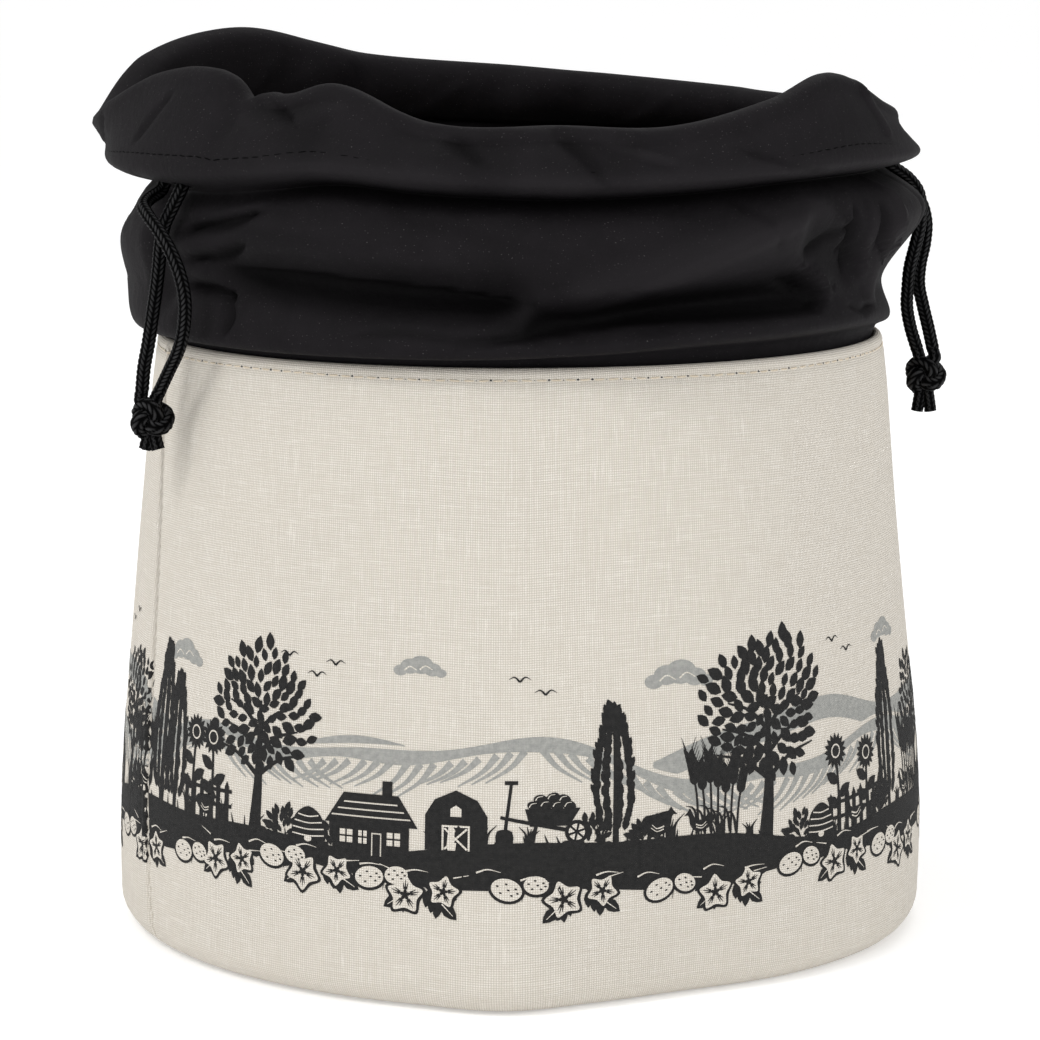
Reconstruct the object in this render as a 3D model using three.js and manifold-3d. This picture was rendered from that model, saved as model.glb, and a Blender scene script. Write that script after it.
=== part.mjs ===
// Potato storage bag: a firm canvas drum with a soft black drawstring collar.
// Millimetres, +Z up, origin at the centre of the base's underside. The front faces -Y.
// Azimuths are in degrees, 0 at the front and positive towards +X.
import * as THREE from "three";
import { mergeVertices } from "three/addons/utils/BufferGeometryUtils.js";
import Module from "manifold-3d";

const wasm = await Module();
wasm.setup();

// Canvas drum
const BASE_RADIUS = 102;
const RIM_RADIUS = 92;
const DRUM_HEIGHT = 148;
const WALL_THICKNESS = 2.6;
const RIM_CROWN = 0.9;
const EDGE_ROUNDING = 7;
const BASE_FOLD_WIDTH = 8;
const BASE_THICKNESS = 2.4;

// Black cloth collar
const COLLAR_THICKNESS = 1.1;
const COLLAR_RISE = 74;
const COLLAR_SEAM_DEPTH = 12;
const FOLD_DEPTH = 4;
const HEM_DEPTH = 18;

// Drawstring
const CORD_DIAMETER = 3.4;
const CORD_CLEARANCE = 1.2;
const CORD_SAG = 0.3;
const EXIT_HOLE_CLEARANCE = 0.9;
const KNOT_WIDTH = 10.6;
const KNOT_HEIGHT = 9.6;
const TAIL_LENGTH = 4.5;
const KNOT_TURN_TILT = 0.6;
const KNOT_TURN_THICKENING = 1.2;

// Gaps between pieces that touch on the real bag
const LAYER_GAP = 0.3;
const CORD_END_GAP = 0.3;

// Fineness of the facets
const COLUMNS = 60;
const CORD_SIDES = 8;
const CORD_STEP = 2.4;
const STRAND_STEP = 1.4;
const ROUNDING_STEPS = 3;
const INNER_LEG_STEPS = 3;
const KNOT_CORE_FACETS = [7, 5];
const KNOT_TURN_FACETS = [5, 8];
const WELD_DISTANCE = 1e-4;

// The drum's outer profile. height is a share of the drum's height.
// flare is 0 at the rim's radius and 1 at the base's radius.
const DRUM_PROFILE = table(["height", "flare"], [
  [0.12, 1.0],
  [0.3, 0.87],
  [0.5, 0.6],
  [0.72, 0.3],
  [0.92, 0.02],
  [1.0, -0.14],
]);

// The footprint's corners and dents. radius is a share of the round radius at the floor.
const FOOTPRINT = table(["azimuth", "radius"], [
  [-180, 1.0],
  [-140, 0.985],
  [-100, 1.0],
  [-40, 0.995],
  [-15, 1.01],
  [-2, 1.04],
  [10, 0.985],
  [24, 0.95],
  [42, 0.975],
  [65, 1.0],
  [115, 0.985],
  [150, 1.01],
]);
const FOOTPRINT_FADE = 0.5;

// The collar's sections round the bag, from the rim up: roll, waist, bulge, the crease under the turned band,
// the band's lip and its hem. Radii are shares of RIM_RADIUS, heights are shares of COLLAR_RISE above the rim.
const COLLAR_SECTIONS = table(
  ["azimuth", "rollR", "waistR", "bulgeR", "bulgeZ", "creaseZ", "lipR", "hemR", "crestZ"],
  [
    [-180, 1.03, 1.02, 1.06, 0.35, 0.54, 1.045, 0.98, 0.85],
    [-152, 1.035, 1.025, 1.065, 0.35, 0.56, 1.05, 0.972, 0.9],
    [-127, 1.04, 1.04, 1.07, 0.34, 0.57, 1.055, 0.992, 1.0],
    [-106, 1.045, 1.06, 1.075, 0.32, 0.555, 1.08, 1.07, 0.92],
    [-92, 1.045, 1.065, 1.08, 0.32, 0.54, 1.1, 1.112, 0.755],
    [-80, 1.04, 1.055, 1.07, 0.33, 0.52, 1.1, 1.08, 0.79],
    [-66, 1.03, 1.03, 1.055, 0.35, 0.51, 1.095, 1.01, 0.88],
    [-52, 1.025, 1.015, 1.055, 0.38, 0.51, 1.085, 0.98, 0.9],
    [-40, 1.03, 1.01, 1.06, 0.39, 0.53, 1.075, 0.96, 0.825],
    [-28, 1.035, 1.01, 1.065, 0.39, 0.555, 1.07, 0.952, 0.86],
    [-13, 1.04, 1.005, 1.06, 0.38, 0.53, 1.07, 0.97, 0.745],
    [6, 1.05, 1.0, 1.06, 0.38, 0.515, 1.07, 0.98, 0.74],
    [22, 1.055, 1.0, 1.055, 0.39, 0.525, 1.07, 0.983, 0.735],
    [40, 1.045, 1.0, 1.045, 0.4, 0.545, 1.065, 0.98, 0.81],
    [54, 1.03, 0.995, 1.04, 0.41, 0.555, 1.06, 0.972, 0.885],
    [70, 1.01, 0.985, 1.065, 0.42, 0.555, 1.06, 0.99, 0.79],
    [90, 0.997, 0.975, 1.095, 0.42, 0.55, 1.065, 1.0, 0.735],
    [112, 1.01, 0.995, 1.085, 0.4, 0.54, 1.06, 0.992, 0.745],
    [145, 1.03, 1.015, 1.065, 0.36, 0.53, 1.05, 0.987, 0.79],
  ],
);

// Places that are the same all round, as shares like the table's
const STRIP_HEIGHT = 0.045;
const ROLL_HEIGHT = 0.095;
const WAIST_HEIGHT = 0.19;
const CREASE_RADIUS = 1.0;
const LIP_RISE = 0.06;

// The cloth's main folds: valleys from one azimuth and height to another, or ridges where depth is negative.
// Heights and width, the half width, are shares of COLLAR_RISE. depth is a share of FOLD_DEPTH.
const FOLDS = table(["from", "fromZ", "to", "toZ", "depth", "width"], [
  [-44, 0.27, -2, 0.22, 0.8, 0.11],
  [4, 0.13, 46, 0.23, 0.9, 0.1],
  [10, 0.22, 46, 0.46, -0.5, 0.12],
  [46, 0.38, 58, 0.28, 0.8, 0.11],
  [-64, 0.47, -64, 0.2, 0.7, 0.12],
  [-41, 0.84, -30, 0.7, 0.6, 0.13],
  [-14, 0.76, -4, 0.62, 0.5, 0.13],
  [4, 0.76, 12, 0.64, 0.5, 0.13],
  [66, 0.46, 66, 0.2, -0.5, 0.09],
  [116, 0.24, 146, 0.2, 0.8, 0.11],
  [128, 0.3, 160, 0.44, -0.6, 0.12],
  [152, 0.24, 205, 0.27, 0.9, 0.11],
  [214, 0.18, 248, 0.26, 0.7, 0.1],
  [172, 0.82, 180, 0.66, 0.5, 0.15],
  [214, 0.9, 222, 0.72, 0.5, 0.15],
  [134, 0.76, 128, 0.64, 0.5, 0.14],
]);

// Azimuths of the four holes under the band, where the drawstring comes out
const LEFT_FRONT_EXIT = -55.5;
const LEFT_BACK_EXIT = -62;
const RIGHT_FRONT_EXIT = 104;
const RIGHT_BACK_EXIT = 110.5;

// The loose cord ends, from a hole under the band down to the knot, as x, y and z
const LEFT_FRONT_ROUTE = [
  [-79, -54.3, 187.7],
  [-80, -54.9, 185.4],
  [-81.8, -55.2, 181.8],
  [-83.6, -54.8, 178],
  [-84.6, -54.4, 173.6],
  [-85.2, -54.2, 168],
  [-86, -54, 162],
  [-87, -53.6, 156],
  [-88, -53.2, 150],
  [-89.2, -52.8, 144],
  [-89.8, -52.6, 138.6],
];
const LEFT_BACK_ROUTE = [
  [-84.2, -44.8, 187.7],
  [-85.2, -45.4, 185.5],
  [-87.8, -49, 183.6],
  [-88.6, -53.6, 182.2],
  [-87.2, -57.8, 180.4],
  [-84.2, -62, 177],
  [-81.4, -64.6, 172.6],
  [-79.2, -65.6, 167.2],
  [-78.2, -65, 161.4],
  [-78.6, -63.4, 155],
  [-80.2, -60.6, 149],
  [-82.8, -57.2, 143.8],
  [-85.4, -54.4, 138.6],
];
const RIGHT_FRONT_ROUTE = [
  [91.9, 22.9, 190.6],
  [93.4, 23.3, 188.6],
  [96.4, 23.8, 186.6],
  [99.9, 23.9, 184],
  [102.3, 23.4, 180.6],
  [102.9, 22.8, 176],
  [102.4, 21.6, 171],
  [101.2, 20.6, 166.5],
  [100, 20.2, 161.5],
  [99.6, 20.4, 156.5],
  [99.5, 20.6, 151.5],
  [100.4, 19.8, 146.2],
  [102, 18.4, 140.8],
];
const RIGHT_BACK_ROUTE = [
  [88.7, 33.1, 190.4],
  [90.1, 33.7, 188.4],
  [93.2, 33.8, 186.4],
  [97.2, 32.6, 184.2],
  [101, 30.6, 181],
  [103.6, 28.8, 177.6],
  [104.8, 27.2, 172.8],
  [104.4, 25.8, 167.4],
  [103.2, 24.6, 162],
  [102.8, 23.4, 156.8],
  [103.8, 21.8, 151.4],
  [105, 19.8, 146],
  [106, 17.6, 140.8],
];

const CANVAS = { color: 0xe2ddd1, roughness: 0.92, metalness: 0 };
const BLACK_CLOTH = { color: 0x1b191b, roughness: 0.72, metalness: 0 };
const BLACK_CORD = { color: 0x101012, roughness: 0.6, metalness: 0 };

const FULL_TURN = 360;
const HEM_SPACING = CORD_DIAMETER + 2 * CORD_CLEARANCE + COLLAR_THICKNESS;

// A list of rows as objects with named columns
function table(columns, rows) {
  return rows.map((row) => Object.fromEntries(columns.map((column, i) => [column, row[i]])));
}

function radians(degrees) {
  return (degrees * Math.PI) / 180;
}

// Point at an azimuth, radius and height
function polar(azimuth, radius, height) {
  const angle = radians(azimuth);
  return new THREE.Vector3(radius * Math.sin(angle), -radius * Math.cos(angle), height);
}

// One column of a table of azimuths, as a smooth curve that closes on itself
function roundCurve(rows, column, azimuth) {
  const count = rows.length;
  const start = rows[0].azimuth;
  const wrapped = start + ((((azimuth - start) % FULL_TURN) + FULL_TURN) % FULL_TURN);
  const place = (k) => rows[(k + count) % count].azimuth + FULL_TURN * Math.floor(k / count);
  const value = (k) => rows[(k + count) % count][column];
  const slope = (k) => (value(k + 1) - value(k - 1)) / (place(k + 1) - place(k - 1));
  let i = count - 1;
  while (place(i) > wrapped) i -= 1;
  const span = place(i + 1) - place(i);
  const t = (wrapped - place(i)) / span;
  const lead = t * t * (3 - 2 * t);
  const leave = t * (1 - t) * (1 - t) * span * slope(i);
  const arrive = t * t * (t - 1) * span * slope(i + 1);
  return value(i) * (1 - lead) + value(i + 1) * lead + leave + arrive;
}

// A closed solid whose sections go all the way round. section gives a closed loop of radius and height.
function roundSolid(columns, section) {
  const loops = [];
  for (let c = 0; c < columns; c += 1) {
    const azimuth = -180 + (FULL_TURN * c) / columns;
    loops.push(section(azimuth).map((point) => polar(azimuth, point.x, point.y)));
  }
  const size = loops[0].length;
  const indices = [];
  for (let c = 0; c < columns; c += 1) {
    const here = c * size;
    const next = ((c + 1) % columns) * size;
    for (let i = 0; i < size; i += 1) {
      const j = (i + 1) % size;
      indices.push(here + i, next + i, next + j);
      indices.push(here + i, next + j, here + j);
    }
  }
  return outwardGeometry(loops.flat(), indices);
}

// A geometry from points and triangles, with its faces pointing out
function outwardGeometry(points, indices) {
  let volume = 0;
  for (let i = 0; i < indices.length; i += 3) {
    const [a, b, c] = [points[indices[i]], points[indices[i + 1]], points[indices[i + 2]]];
    volume += a.dot(b.clone().cross(c));
  }
  const geometry = new THREE.BufferGeometry().setFromPoints(points);
  geometry.setIndex(volume > 0 ? indices : [...indices].reverse());
  geometry.computeVertexNormals();
  return geometry;
}

// A closed geometry as a solid that can be cut and joined
function toSolid(geometry) {
  const bare = geometry.clone();
  bare.deleteAttribute("normal");
  bare.deleteAttribute("uv");
  const merged = mergeVertices(bare, WELD_DISTANCE);
  const mesh = new wasm.Mesh({
    numProp: 3,
    vertProperties: new Float32Array(merged.attributes.position.array),
    triVerts: new Uint32Array(merged.index.array),
  });
  return new wasm.Manifold(mesh);
}

// A cut or joined solid as a geometry
function toGeometry(solid) {
  const mesh = solid.getMesh();
  const geometry = new THREE.BufferGeometry();
  geometry.setAttribute("position", new THREE.BufferAttribute(new Float32Array(mesh.vertProperties), 3));
  geometry.setIndex(new THREE.BufferAttribute(new Uint32Array(mesh.triVerts), 1));
  geometry.computeVertexNormals();
  return geometry;
}

// A tube along a smooth curve through points, with a ring of corners each stepLength or so
function tube(points, diameter, stepLength) {
  const corners = [];
  for (let i = 0; i < CORD_SIDES; i += 1) {
    const angle = (2 * Math.PI * (i + 0.5)) / CORD_SIDES;
    corners.push(new THREE.Vector2(Math.cos(angle), Math.sin(angle)).multiplyScalar(diameter / 2));
  }
  const extrudePath = new THREE.CatmullRomCurve3(points, false, "centripetal");
  const steps = Math.max(points.length - 1, Math.round(extrudePath.getLength() / stepLength));
  return new THREE.ExtrudeGeometry(new THREE.Shape(corners), { steps, extrudePath, bevelEnabled: false });
}

// A line moved sideways by a distance, to the left of its direction
function offsetLine(points, distance) {
  return points.map((point, i) => {
    const before = points[Math.max(0, i - 1)];
    const after = points[Math.min(points.length - 1, i + 1)];
    const along = after.clone().sub(before).normalize();
    return new THREE.Vector2(point.x - along.y * distance, point.y + along.x * distance);
  });
}

// Radius at a height on a line of radius and height, read from its top down
function radiusAtHeight(line, height) {
  for (let i = line.length - 1; i > 0; i -= 1) {
    const [low, high] = [line[i - 1], line[i]];
    if (low.y <= height && high.y >= height && high.y > low.y) {
      return THREE.MathUtils.lerp(low.x, high.x, (height - low.y) / (high.y - low.y));
    }
  }
  return line[line.length - 1].x;
}

// The drum's footprint at a height, as a share of the round radius
function footprintShare(azimuth, height) {
  const above = Math.max(0, height - EDGE_ROUNDING);
  const fade = Math.max(0, 1 - above / (FOOTPRINT_FADE * DRUM_HEIGHT));
  return 1 + (roundCurve(FOOTPRINT, "radius", azimuth) - 1) * fade * fade;
}

// The drum's outer line, from the inner edge of its foot up to the rim, before the footprint's dents
function drumOuterLine() {
  const rounding = Math.max(EDGE_ROUNDING, WALL_THICKNESS);
  const points = [new THREE.Vector2(BASE_RADIUS - rounding - BASE_FOLD_WIDTH, 0)];
  for (let i = 0; i <= ROUNDING_STEPS; i += 1) {
    const turn = (i / ROUNDING_STEPS) * (Math.PI / 2);
    const out = BASE_RADIUS - rounding * (1 - Math.sin(turn));
    points.push(new THREE.Vector2(out, rounding * (1 - Math.cos(turn))));
  }
  for (const row of DRUM_PROFILE) {
    const radius = RIM_RADIUS + (BASE_RADIUS - RIM_RADIUS) * row.flare;
    points.push(new THREE.Vector2(radius, (DRUM_HEIGHT - RIM_CROWN) * row.height));
  }
  return points;
}

const drumOuter = drumOuterLine();
const drumInner = offsetLine(drumOuter, WALL_THICKNESS);

function canvasWall() {
  const top = drumOuter.length - 1;
  const crown = drumOuter[top].clone().add(drumInner[top]).multiplyScalar(0.5);
  crown.y = DRUM_HEIGHT;
  const loop = [...drumOuter, crown, ...[...drumInner].reverse()];
  return roundSolid(COLUMNS, (azimuth) =>
    loop.map((point) => new THREE.Vector2(point.x * footprintShare(azimuth, point.y), point.y)),
  );
}

function canvasBase() {
  const radius = drumOuter[0].x - LAYER_GAP;
  const points = [new THREE.Vector3(0, 0, 0), new THREE.Vector3(0, 0, BASE_THICKNESS)];
  for (let c = 0; c < COLUMNS; c += 1) {
    const azimuth = -180 + (FULL_TURN * c) / COLUMNS;
    const edge = radius * footprintShare(azimuth, 0);
    points.push(polar(azimuth, edge, 0), polar(azimuth, edge, BASE_THICKNESS));
  }
  const indices = [];
  for (let c = 0; c < COLUMNS; c += 1) {
    const here = 2 + 2 * c;
    const next = 2 + 2 * ((c + 1) % COLUMNS);
    indices.push(0, next, here);
    indices.push(1, here + 1, next + 1);
    indices.push(here, next, next + 1);
    indices.push(here, next + 1, here + 1);
  }
  return outwardGeometry(points, indices);
}

// A fold's weight at a point: 1 on its line, falling smoothly to 0 at its half width
function foldWeight(fold, azimuth, height) {
  const middle = (fold.from + fold.to) / 2;
  const turned = azimuth + FULL_TURN * Math.round((middle - azimuth) / FULL_TURN);
  const arc = (degrees) => radians(degrees) * RIM_RADIUS;
  const line = new THREE.Vector2(arc(fold.to - fold.from), (fold.toZ - fold.fromZ) * COLLAR_RISE);
  const point = new THREE.Vector2(arc(turned - fold.from), height - collarHeight(fold.fromZ));
  const along = THREE.MathUtils.clamp(point.dot(line) / line.lengthSq(), 0, 1);
  const away = point.distanceTo(line.multiplyScalar(along));
  const share = Math.min(1, away / (fold.width * COLLAR_RISE));
  return (1 - share * share) ** 2;
}

// How far the folds push the cloth inwards at a point
function foldPush(azimuth, height) {
  return FOLDS.reduce((sum, fold) => sum + FOLD_DEPTH * fold.depth * foldWeight(fold, azimuth, height), 0);
}

function collarHeight(share) {
  return DRUM_HEIGHT + share * COLLAR_RISE;
}

// The radius of the collar's foot, sewn inside the rim
const collarFootRadius =
  Math.min(
    radiusAtHeight(drumInner, DRUM_HEIGHT - RIM_CROWN),
    radiusAtHeight(drumInner, DRUM_HEIGHT - COLLAR_SEAM_DEPTH),
  ) - LAYER_GAP - COLLAR_THICKNESS / 2;

// The outer leg's curve counted in control points: the crease, the cords' way out, the lip and the hem's stitches
const LEG_CONTROLS = 10;
const CREASE_STEP = 6;
const EXIT_STEP = 6.5;
const LIP_STEP = 7;
const STITCH_STEP = 7.45;
const LEG_SAMPLES = [0, 1.4, 2, 2.5, 3, 3.5, 4, 4.5, 5, 5.5, 6, 7, 7.5, 8, 9].map(
  (step) => step / (LEG_CONTROLS - 1),
);

// The middle of the hem's rolled top at an azimuth
function hemCentre(azimuth) {
  const radius = RIM_RADIUS * roundCurve(COLLAR_SECTIONS, "hemR", azimuth);
  const crest = collarHeight(roundCurve(COLLAR_SECTIONS, "crestZ", azimuth));
  return new THREE.Vector2(radius, crest - (HEM_SPACING + COLLAR_THICKNESS) / 2);
}

// The middle line of the collar's outer leg, from its hidden foot up to the hem's rolled top
function outerLeg(azimuth) {
  const row = (column) => roundCurve(COLLAR_SECTIONS, column, azimuth);
  const hem = hemCentre(azimuth);
  const shoulder = [hem.x + HEM_SPACING / 2, hem.y];
  const lip = [RIM_RADIUS * row("lipR"), collarHeight(row("creaseZ") + LIP_RISE)];
  const middle = [(2 * lip[0] + shoulder[0]) / 3 + LAYER_GAP, (lip[1] + shoulder[1]) / 2];
  const control = [
    [collarFootRadius, DRUM_HEIGHT - COLLAR_SEAM_DEPTH],
    [collarFootRadius, DRUM_HEIGHT - COLLAR_SEAM_DEPTH / 3],
    [collarFootRadius + WALL_THICKNESS / 4, collarHeight(STRIP_HEIGHT)],
    [RIM_RADIUS * row("rollR"), collarHeight(ROLL_HEIGHT)],
    [RIM_RADIUS * row("waistR"), collarHeight(WAIST_HEIGHT)],
    [RIM_RADIUS * row("bulgeR"), collarHeight(row("bulgeZ"))],
    [RIM_RADIUS * CREASE_RADIUS, collarHeight(row("creaseZ"))],
    lip,
    middle,
    shoulder,
  ];
  const points = control.map(([radius, height]) => new THREE.Vector3(radius, height, 0));
  return new THREE.CatmullRomCurve3(points, false, "centripetal");
}

// How open the hem's lower edge is: 1 within a turn of the cords' holes, 0 where it is stitched shut
const EXITS = [LEFT_FRONT_EXIT, LEFT_BACK_EXIT, RIGHT_FRONT_EXIT, RIGHT_BACK_EXIT];
const OPEN_TURN = 10;
const CLOSED_TURN = 26;
function hemOpening(azimuth) {
  const away = (exit) => Math.abs(azimuth - exit - FULL_TURN * Math.round((azimuth - exit) / FULL_TURN));
  const nearest = Math.min(...EXITS.map(away));
  return 1 - THREE.MathUtils.smoothstep(nearest, OPEN_TURN, CLOSED_TURN);
}

// The middle line of the whole collar: outer leg, rolled top and inner leg
const TOP_TURNS = [0.25, 0.5, 0.75];
const LEAST_DROP = HEM_DEPTH / 3;
const BEND_SHARE = 0.6;
function collarLine(azimuth) {
  const leg = outerLeg(azimuth);
  const at = (share) => new THREE.Vector2(leg.getPoint(share).x, leg.getPoint(share).y);
  const points = LEG_SAMPLES.map(at);
  const hem = hemCentre(azimuth);
  for (const turn of TOP_TURNS) {
    const angle = turn * Math.PI;
    const out = new THREE.Vector2(Math.cos(angle), Math.sin(angle)).multiplyScalar(HEM_SPACING / 2);
    points.push(hem.clone().add(out));
  }
  const top = new THREE.Vector2(hem.x - HEM_SPACING / 2, hem.y);
  const stitch = at(STITCH_STEP / (LEG_CONTROLS - 1));
  const shut = new THREE.Vector2(stitch.x - COLLAR_THICKNESS - 2 * LAYER_GAP, stitch.y);
  const drop = Math.min(HEM_DEPTH, Math.max(top.y - stitch.y, LEAST_DROP));
  const open = new THREE.Vector2(top.x, top.y - drop);
  const end = shut.lerp(open, hemOpening(azimuth));
  const bend = new THREE.Vector2(top.x, THREE.MathUtils.lerp(top.y, end.y, BEND_SHARE));
  const inner = new THREE.QuadraticBezierCurve(top, bend, end);
  return [...points, ...inner.getPoints(INNER_LEG_STEPS)];
}

// The collar's section as a closed loop, one cloth thick
function collarSection(azimuth) {
  const line = collarLine(azimuth);
  const outside = offsetLine(line, -COLLAR_THICKNESS / 2);
  const inside = offsetLine(line, COLLAR_THICKNESS / 2);
  return [...outside, ...inside.reverse()].map(
    (point) => new THREE.Vector2(point.x - foldPush(azimuth, point.y), point.y),
  );
}

// Where a cord comes out between crease and lip, and the direction that it leaves in
function exitHole(azimuth) {
  const leg = outerLeg(azimuth);
  const crease = leg.getPoint(CREASE_STEP / (LEG_CONTROLS - 1));
  const lip = leg.getPoint(LIP_STEP / (LEG_CONTROLS - 1));
  const middle = leg.getPoint(EXIT_STEP / (LEG_CONTROLS - 1));
  const slope = lip.clone().sub(crease).normalize();
  const point = polar(azimuth, middle.x - foldPush(azimuth, middle.y), middle.y);
  const axis = polar(azimuth, slope.y, -slope.x);
  return { point, axis };
}

function collar() {
  let solid = toSolid(roundSolid(COLUMNS, collarSection));
  for (const azimuth of EXITS) {
    const hole = exitHole(azimuth);
    const reach = 3 * COLLAR_THICKNESS;
    const ends = [-reach, reach].map((step) => hole.point.clone().addScaledVector(hole.axis, step));
    solid = solid.subtract(toSolid(tube(ends, CORD_DIAMETER + 2 * EXIT_HOLE_CLEARANCE, 2 * reach)));
  }
  return toGeometry(solid);
}

// The middle of the tunnel inside the hem at a height, under the rolled top
const TUNNEL_STEP = 0.25;
function tunnelPoint(azimuth, height) {
  const leg = outerLeg(azimuth);
  const line = [];
  for (let step = LIP_STEP; step <= LEG_CONTROLS - 1; step += TUNNEL_STEP) {
    const point = leg.getPoint(step / (LEG_CONTROLS - 1));
    line.push(new THREE.Vector2(point.x, point.y));
  }
  const radius = radiusAtHeight(line, height) - HEM_SPACING / 2;
  return polar(azimuth, radius - foldPush(azimuth, height), height);
}

// The way in from a hole up to the rolled top, turning along the hem towards a sign
const TURN_IN = 9;
const TURN_IN_SHARES = [0.35, 0.6, 0.8];
function wayIn(azimuth, sign) {
  const hole = exitHole(azimuth);
  const start = hole.point.clone().addScaledVector(hole.axis, -CORD_END_GAP);
  const inside = hole.point.clone().addScaledVector(hole.axis, -CORD_DIAMETER);
  const points = [start, inside];
  for (const share of TURN_IN_SHARES) {
    const angle = (share * Math.PI) / 2;
    const place = azimuth + sign * TURN_IN * (1 - Math.cos(angle));
    const top = hemCentre(place).y - CORD_SAG;
    points.push(tunnelPoint(place, THREE.MathUtils.lerp(inside.z, top, Math.sin(angle))));
  }
  return points;
}

// A drawstring's stretch inside the hem, from one hole to another
function hiddenCord(from, to) {
  const sign = Math.sign(to - from);
  const points = wayIn(from, sign);
  const first = from + sign * TURN_IN;
  const last = to - sign * TURN_IN;
  const count = Math.round((COLUMNS * Math.abs(last - first)) / FULL_TURN);
  for (let i = 0; i <= count; i += 1) {
    const azimuth = THREE.MathUtils.lerp(first, last, i / count);
    points.push(tunnelPoint(azimuth, hemCentre(azimuth).y - CORD_SAG));
  }
  return tube([...points, ...wayIn(to, -sign).reverse()], CORD_DIAMETER, CORD_STEP * CORD_DIAMETER);
}

function strand(route) {
  return tube(route.map((point) => new THREE.Vector3(...point)), CORD_DIAMETER, STRAND_STEP * CORD_DIAMETER);
}

// The knot that ties two cord ends together: two turns round a core, with the cut ends below
function knot(routes) {
  const ends = routes.map((route) => new THREE.Vector3(...route[route.length - 1]));
  const centre = ends[0].clone().add(ends[1]).multiplyScalar(0.5);
  centre.z -= CORD_END_GAP + CORD_DIAMETER / 2 + KNOT_HEIGHT / 2;
  const turnDiameter = KNOT_TURN_THICKENING * CORD_DIAMETER;
  const core = new THREE.SphereGeometry(KNOT_HEIGHT / 2, ...KNOT_CORE_FACETS);
  let solid = toSolid(core.translate(...centre.toArray()));
  for (const tilt of [-KNOT_TURN_TILT, KNOT_TURN_TILT]) {
    const turnRadius = (KNOT_WIDTH - turnDiameter) / 2;
    const ring = new THREE.TorusGeometry(turnRadius, turnDiameter / 2, ...KNOT_TURN_FACETS);
    ring.rotateX(tilt).rotateZ(tilt / 2).translate(...centre.toArray());
    solid = solid.add(toSolid(ring));
  }
  routes.forEach((route, i) => {
    const before = new THREE.Vector3(...route[route.length - 2]);
    const along = ends[i].clone().sub(before).normalize();
    const top = ends[i].clone().addScaledVector(along, CORD_END_GAP);
    const inside = ends[i].clone().addScaledVector(along, CORD_DIAMETER);
    const side = ends[i].clone().sub(centre).setZ(0).setLength(CORD_DIAMETER / 2);
    const tail = centre.clone().add(side);
    tail.z -= KNOT_HEIGHT / 2 + TAIL_LENGTH;
    solid = solid.add(toSolid(tube([top, inside], CORD_DIAMETER, CORD_DIAMETER)));
    solid = solid.add(toSolid(tube([centre, tail], CORD_DIAMETER, KNOT_HEIGHT + TAIL_LENGTH)));
  });
  return toGeometry(solid);
}

function addPart(group, name, geometry, look) {
  const mesh = new THREE.Mesh(geometry, new THREE.MeshStandardMaterial(look));
  mesh.name = name;
  group.add(mesh);
}

const bag = new THREE.Group();
addPart(bag, "canvas_wall", canvasWall(), CANVAS);
addPart(bag, "canvas_base", canvasBase(), CANVAS);
addPart(bag, "collar", collar(), BLACK_CLOTH);
addPart(bag, "drawcord_front", hiddenCord(LEFT_FRONT_EXIT, RIGHT_FRONT_EXIT), BLACK_CORD);
addPart(bag, "drawcord_back", hiddenCord(LEFT_BACK_EXIT, RIGHT_BACK_EXIT - FULL_TURN), BLACK_CORD);
addPart(bag, "cord_left_front", strand(LEFT_FRONT_ROUTE), BLACK_CORD);
addPart(bag, "cord_left_back", strand(LEFT_BACK_ROUTE), BLACK_CORD);
addPart(bag, "cord_right_front", strand(RIGHT_FRONT_ROUTE), BLACK_CORD);
addPart(bag, "cord_right_back", strand(RIGHT_BACK_ROUTE), BLACK_CORD);
addPart(bag, "knot_left", knot([LEFT_FRONT_ROUTE, LEFT_BACK_ROUTE]), BLACK_CORD);
addPart(bag, "knot_right", knot([RIGHT_FRONT_ROUTE, RIGHT_BACK_ROUTE]), BLACK_CORD);

export default bag;
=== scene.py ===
"""A potato storage bag: a firm canvas drum with a printed country scene, and a soft black collar."""

import math
import random

import bpy
import bmesh
import numpy as np
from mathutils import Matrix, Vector


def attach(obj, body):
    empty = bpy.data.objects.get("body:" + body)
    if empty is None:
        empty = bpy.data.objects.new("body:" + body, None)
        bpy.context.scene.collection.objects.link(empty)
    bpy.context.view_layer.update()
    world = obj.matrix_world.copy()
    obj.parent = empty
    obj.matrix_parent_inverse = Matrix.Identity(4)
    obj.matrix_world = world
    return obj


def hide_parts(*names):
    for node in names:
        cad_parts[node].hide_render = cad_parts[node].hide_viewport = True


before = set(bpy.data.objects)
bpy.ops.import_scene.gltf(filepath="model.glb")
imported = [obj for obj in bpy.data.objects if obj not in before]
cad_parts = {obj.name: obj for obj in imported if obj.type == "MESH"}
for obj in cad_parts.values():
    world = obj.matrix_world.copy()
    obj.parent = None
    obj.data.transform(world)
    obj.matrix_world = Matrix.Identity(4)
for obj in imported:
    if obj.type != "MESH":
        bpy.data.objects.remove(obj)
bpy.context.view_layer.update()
MM = 0.001

# Camera, at the photograph's height and angle: pixels, millimetres of sensor, degrees and metres
PHOTO_WIDTH = 1040
FOCAL_PIXELS = 3590
SENSOR = 36.0
CAMERA_PITCH = 8.9
CAMERA_DISTANCE = 0.9
CAMERA_HEIGHT = 0.24

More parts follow.
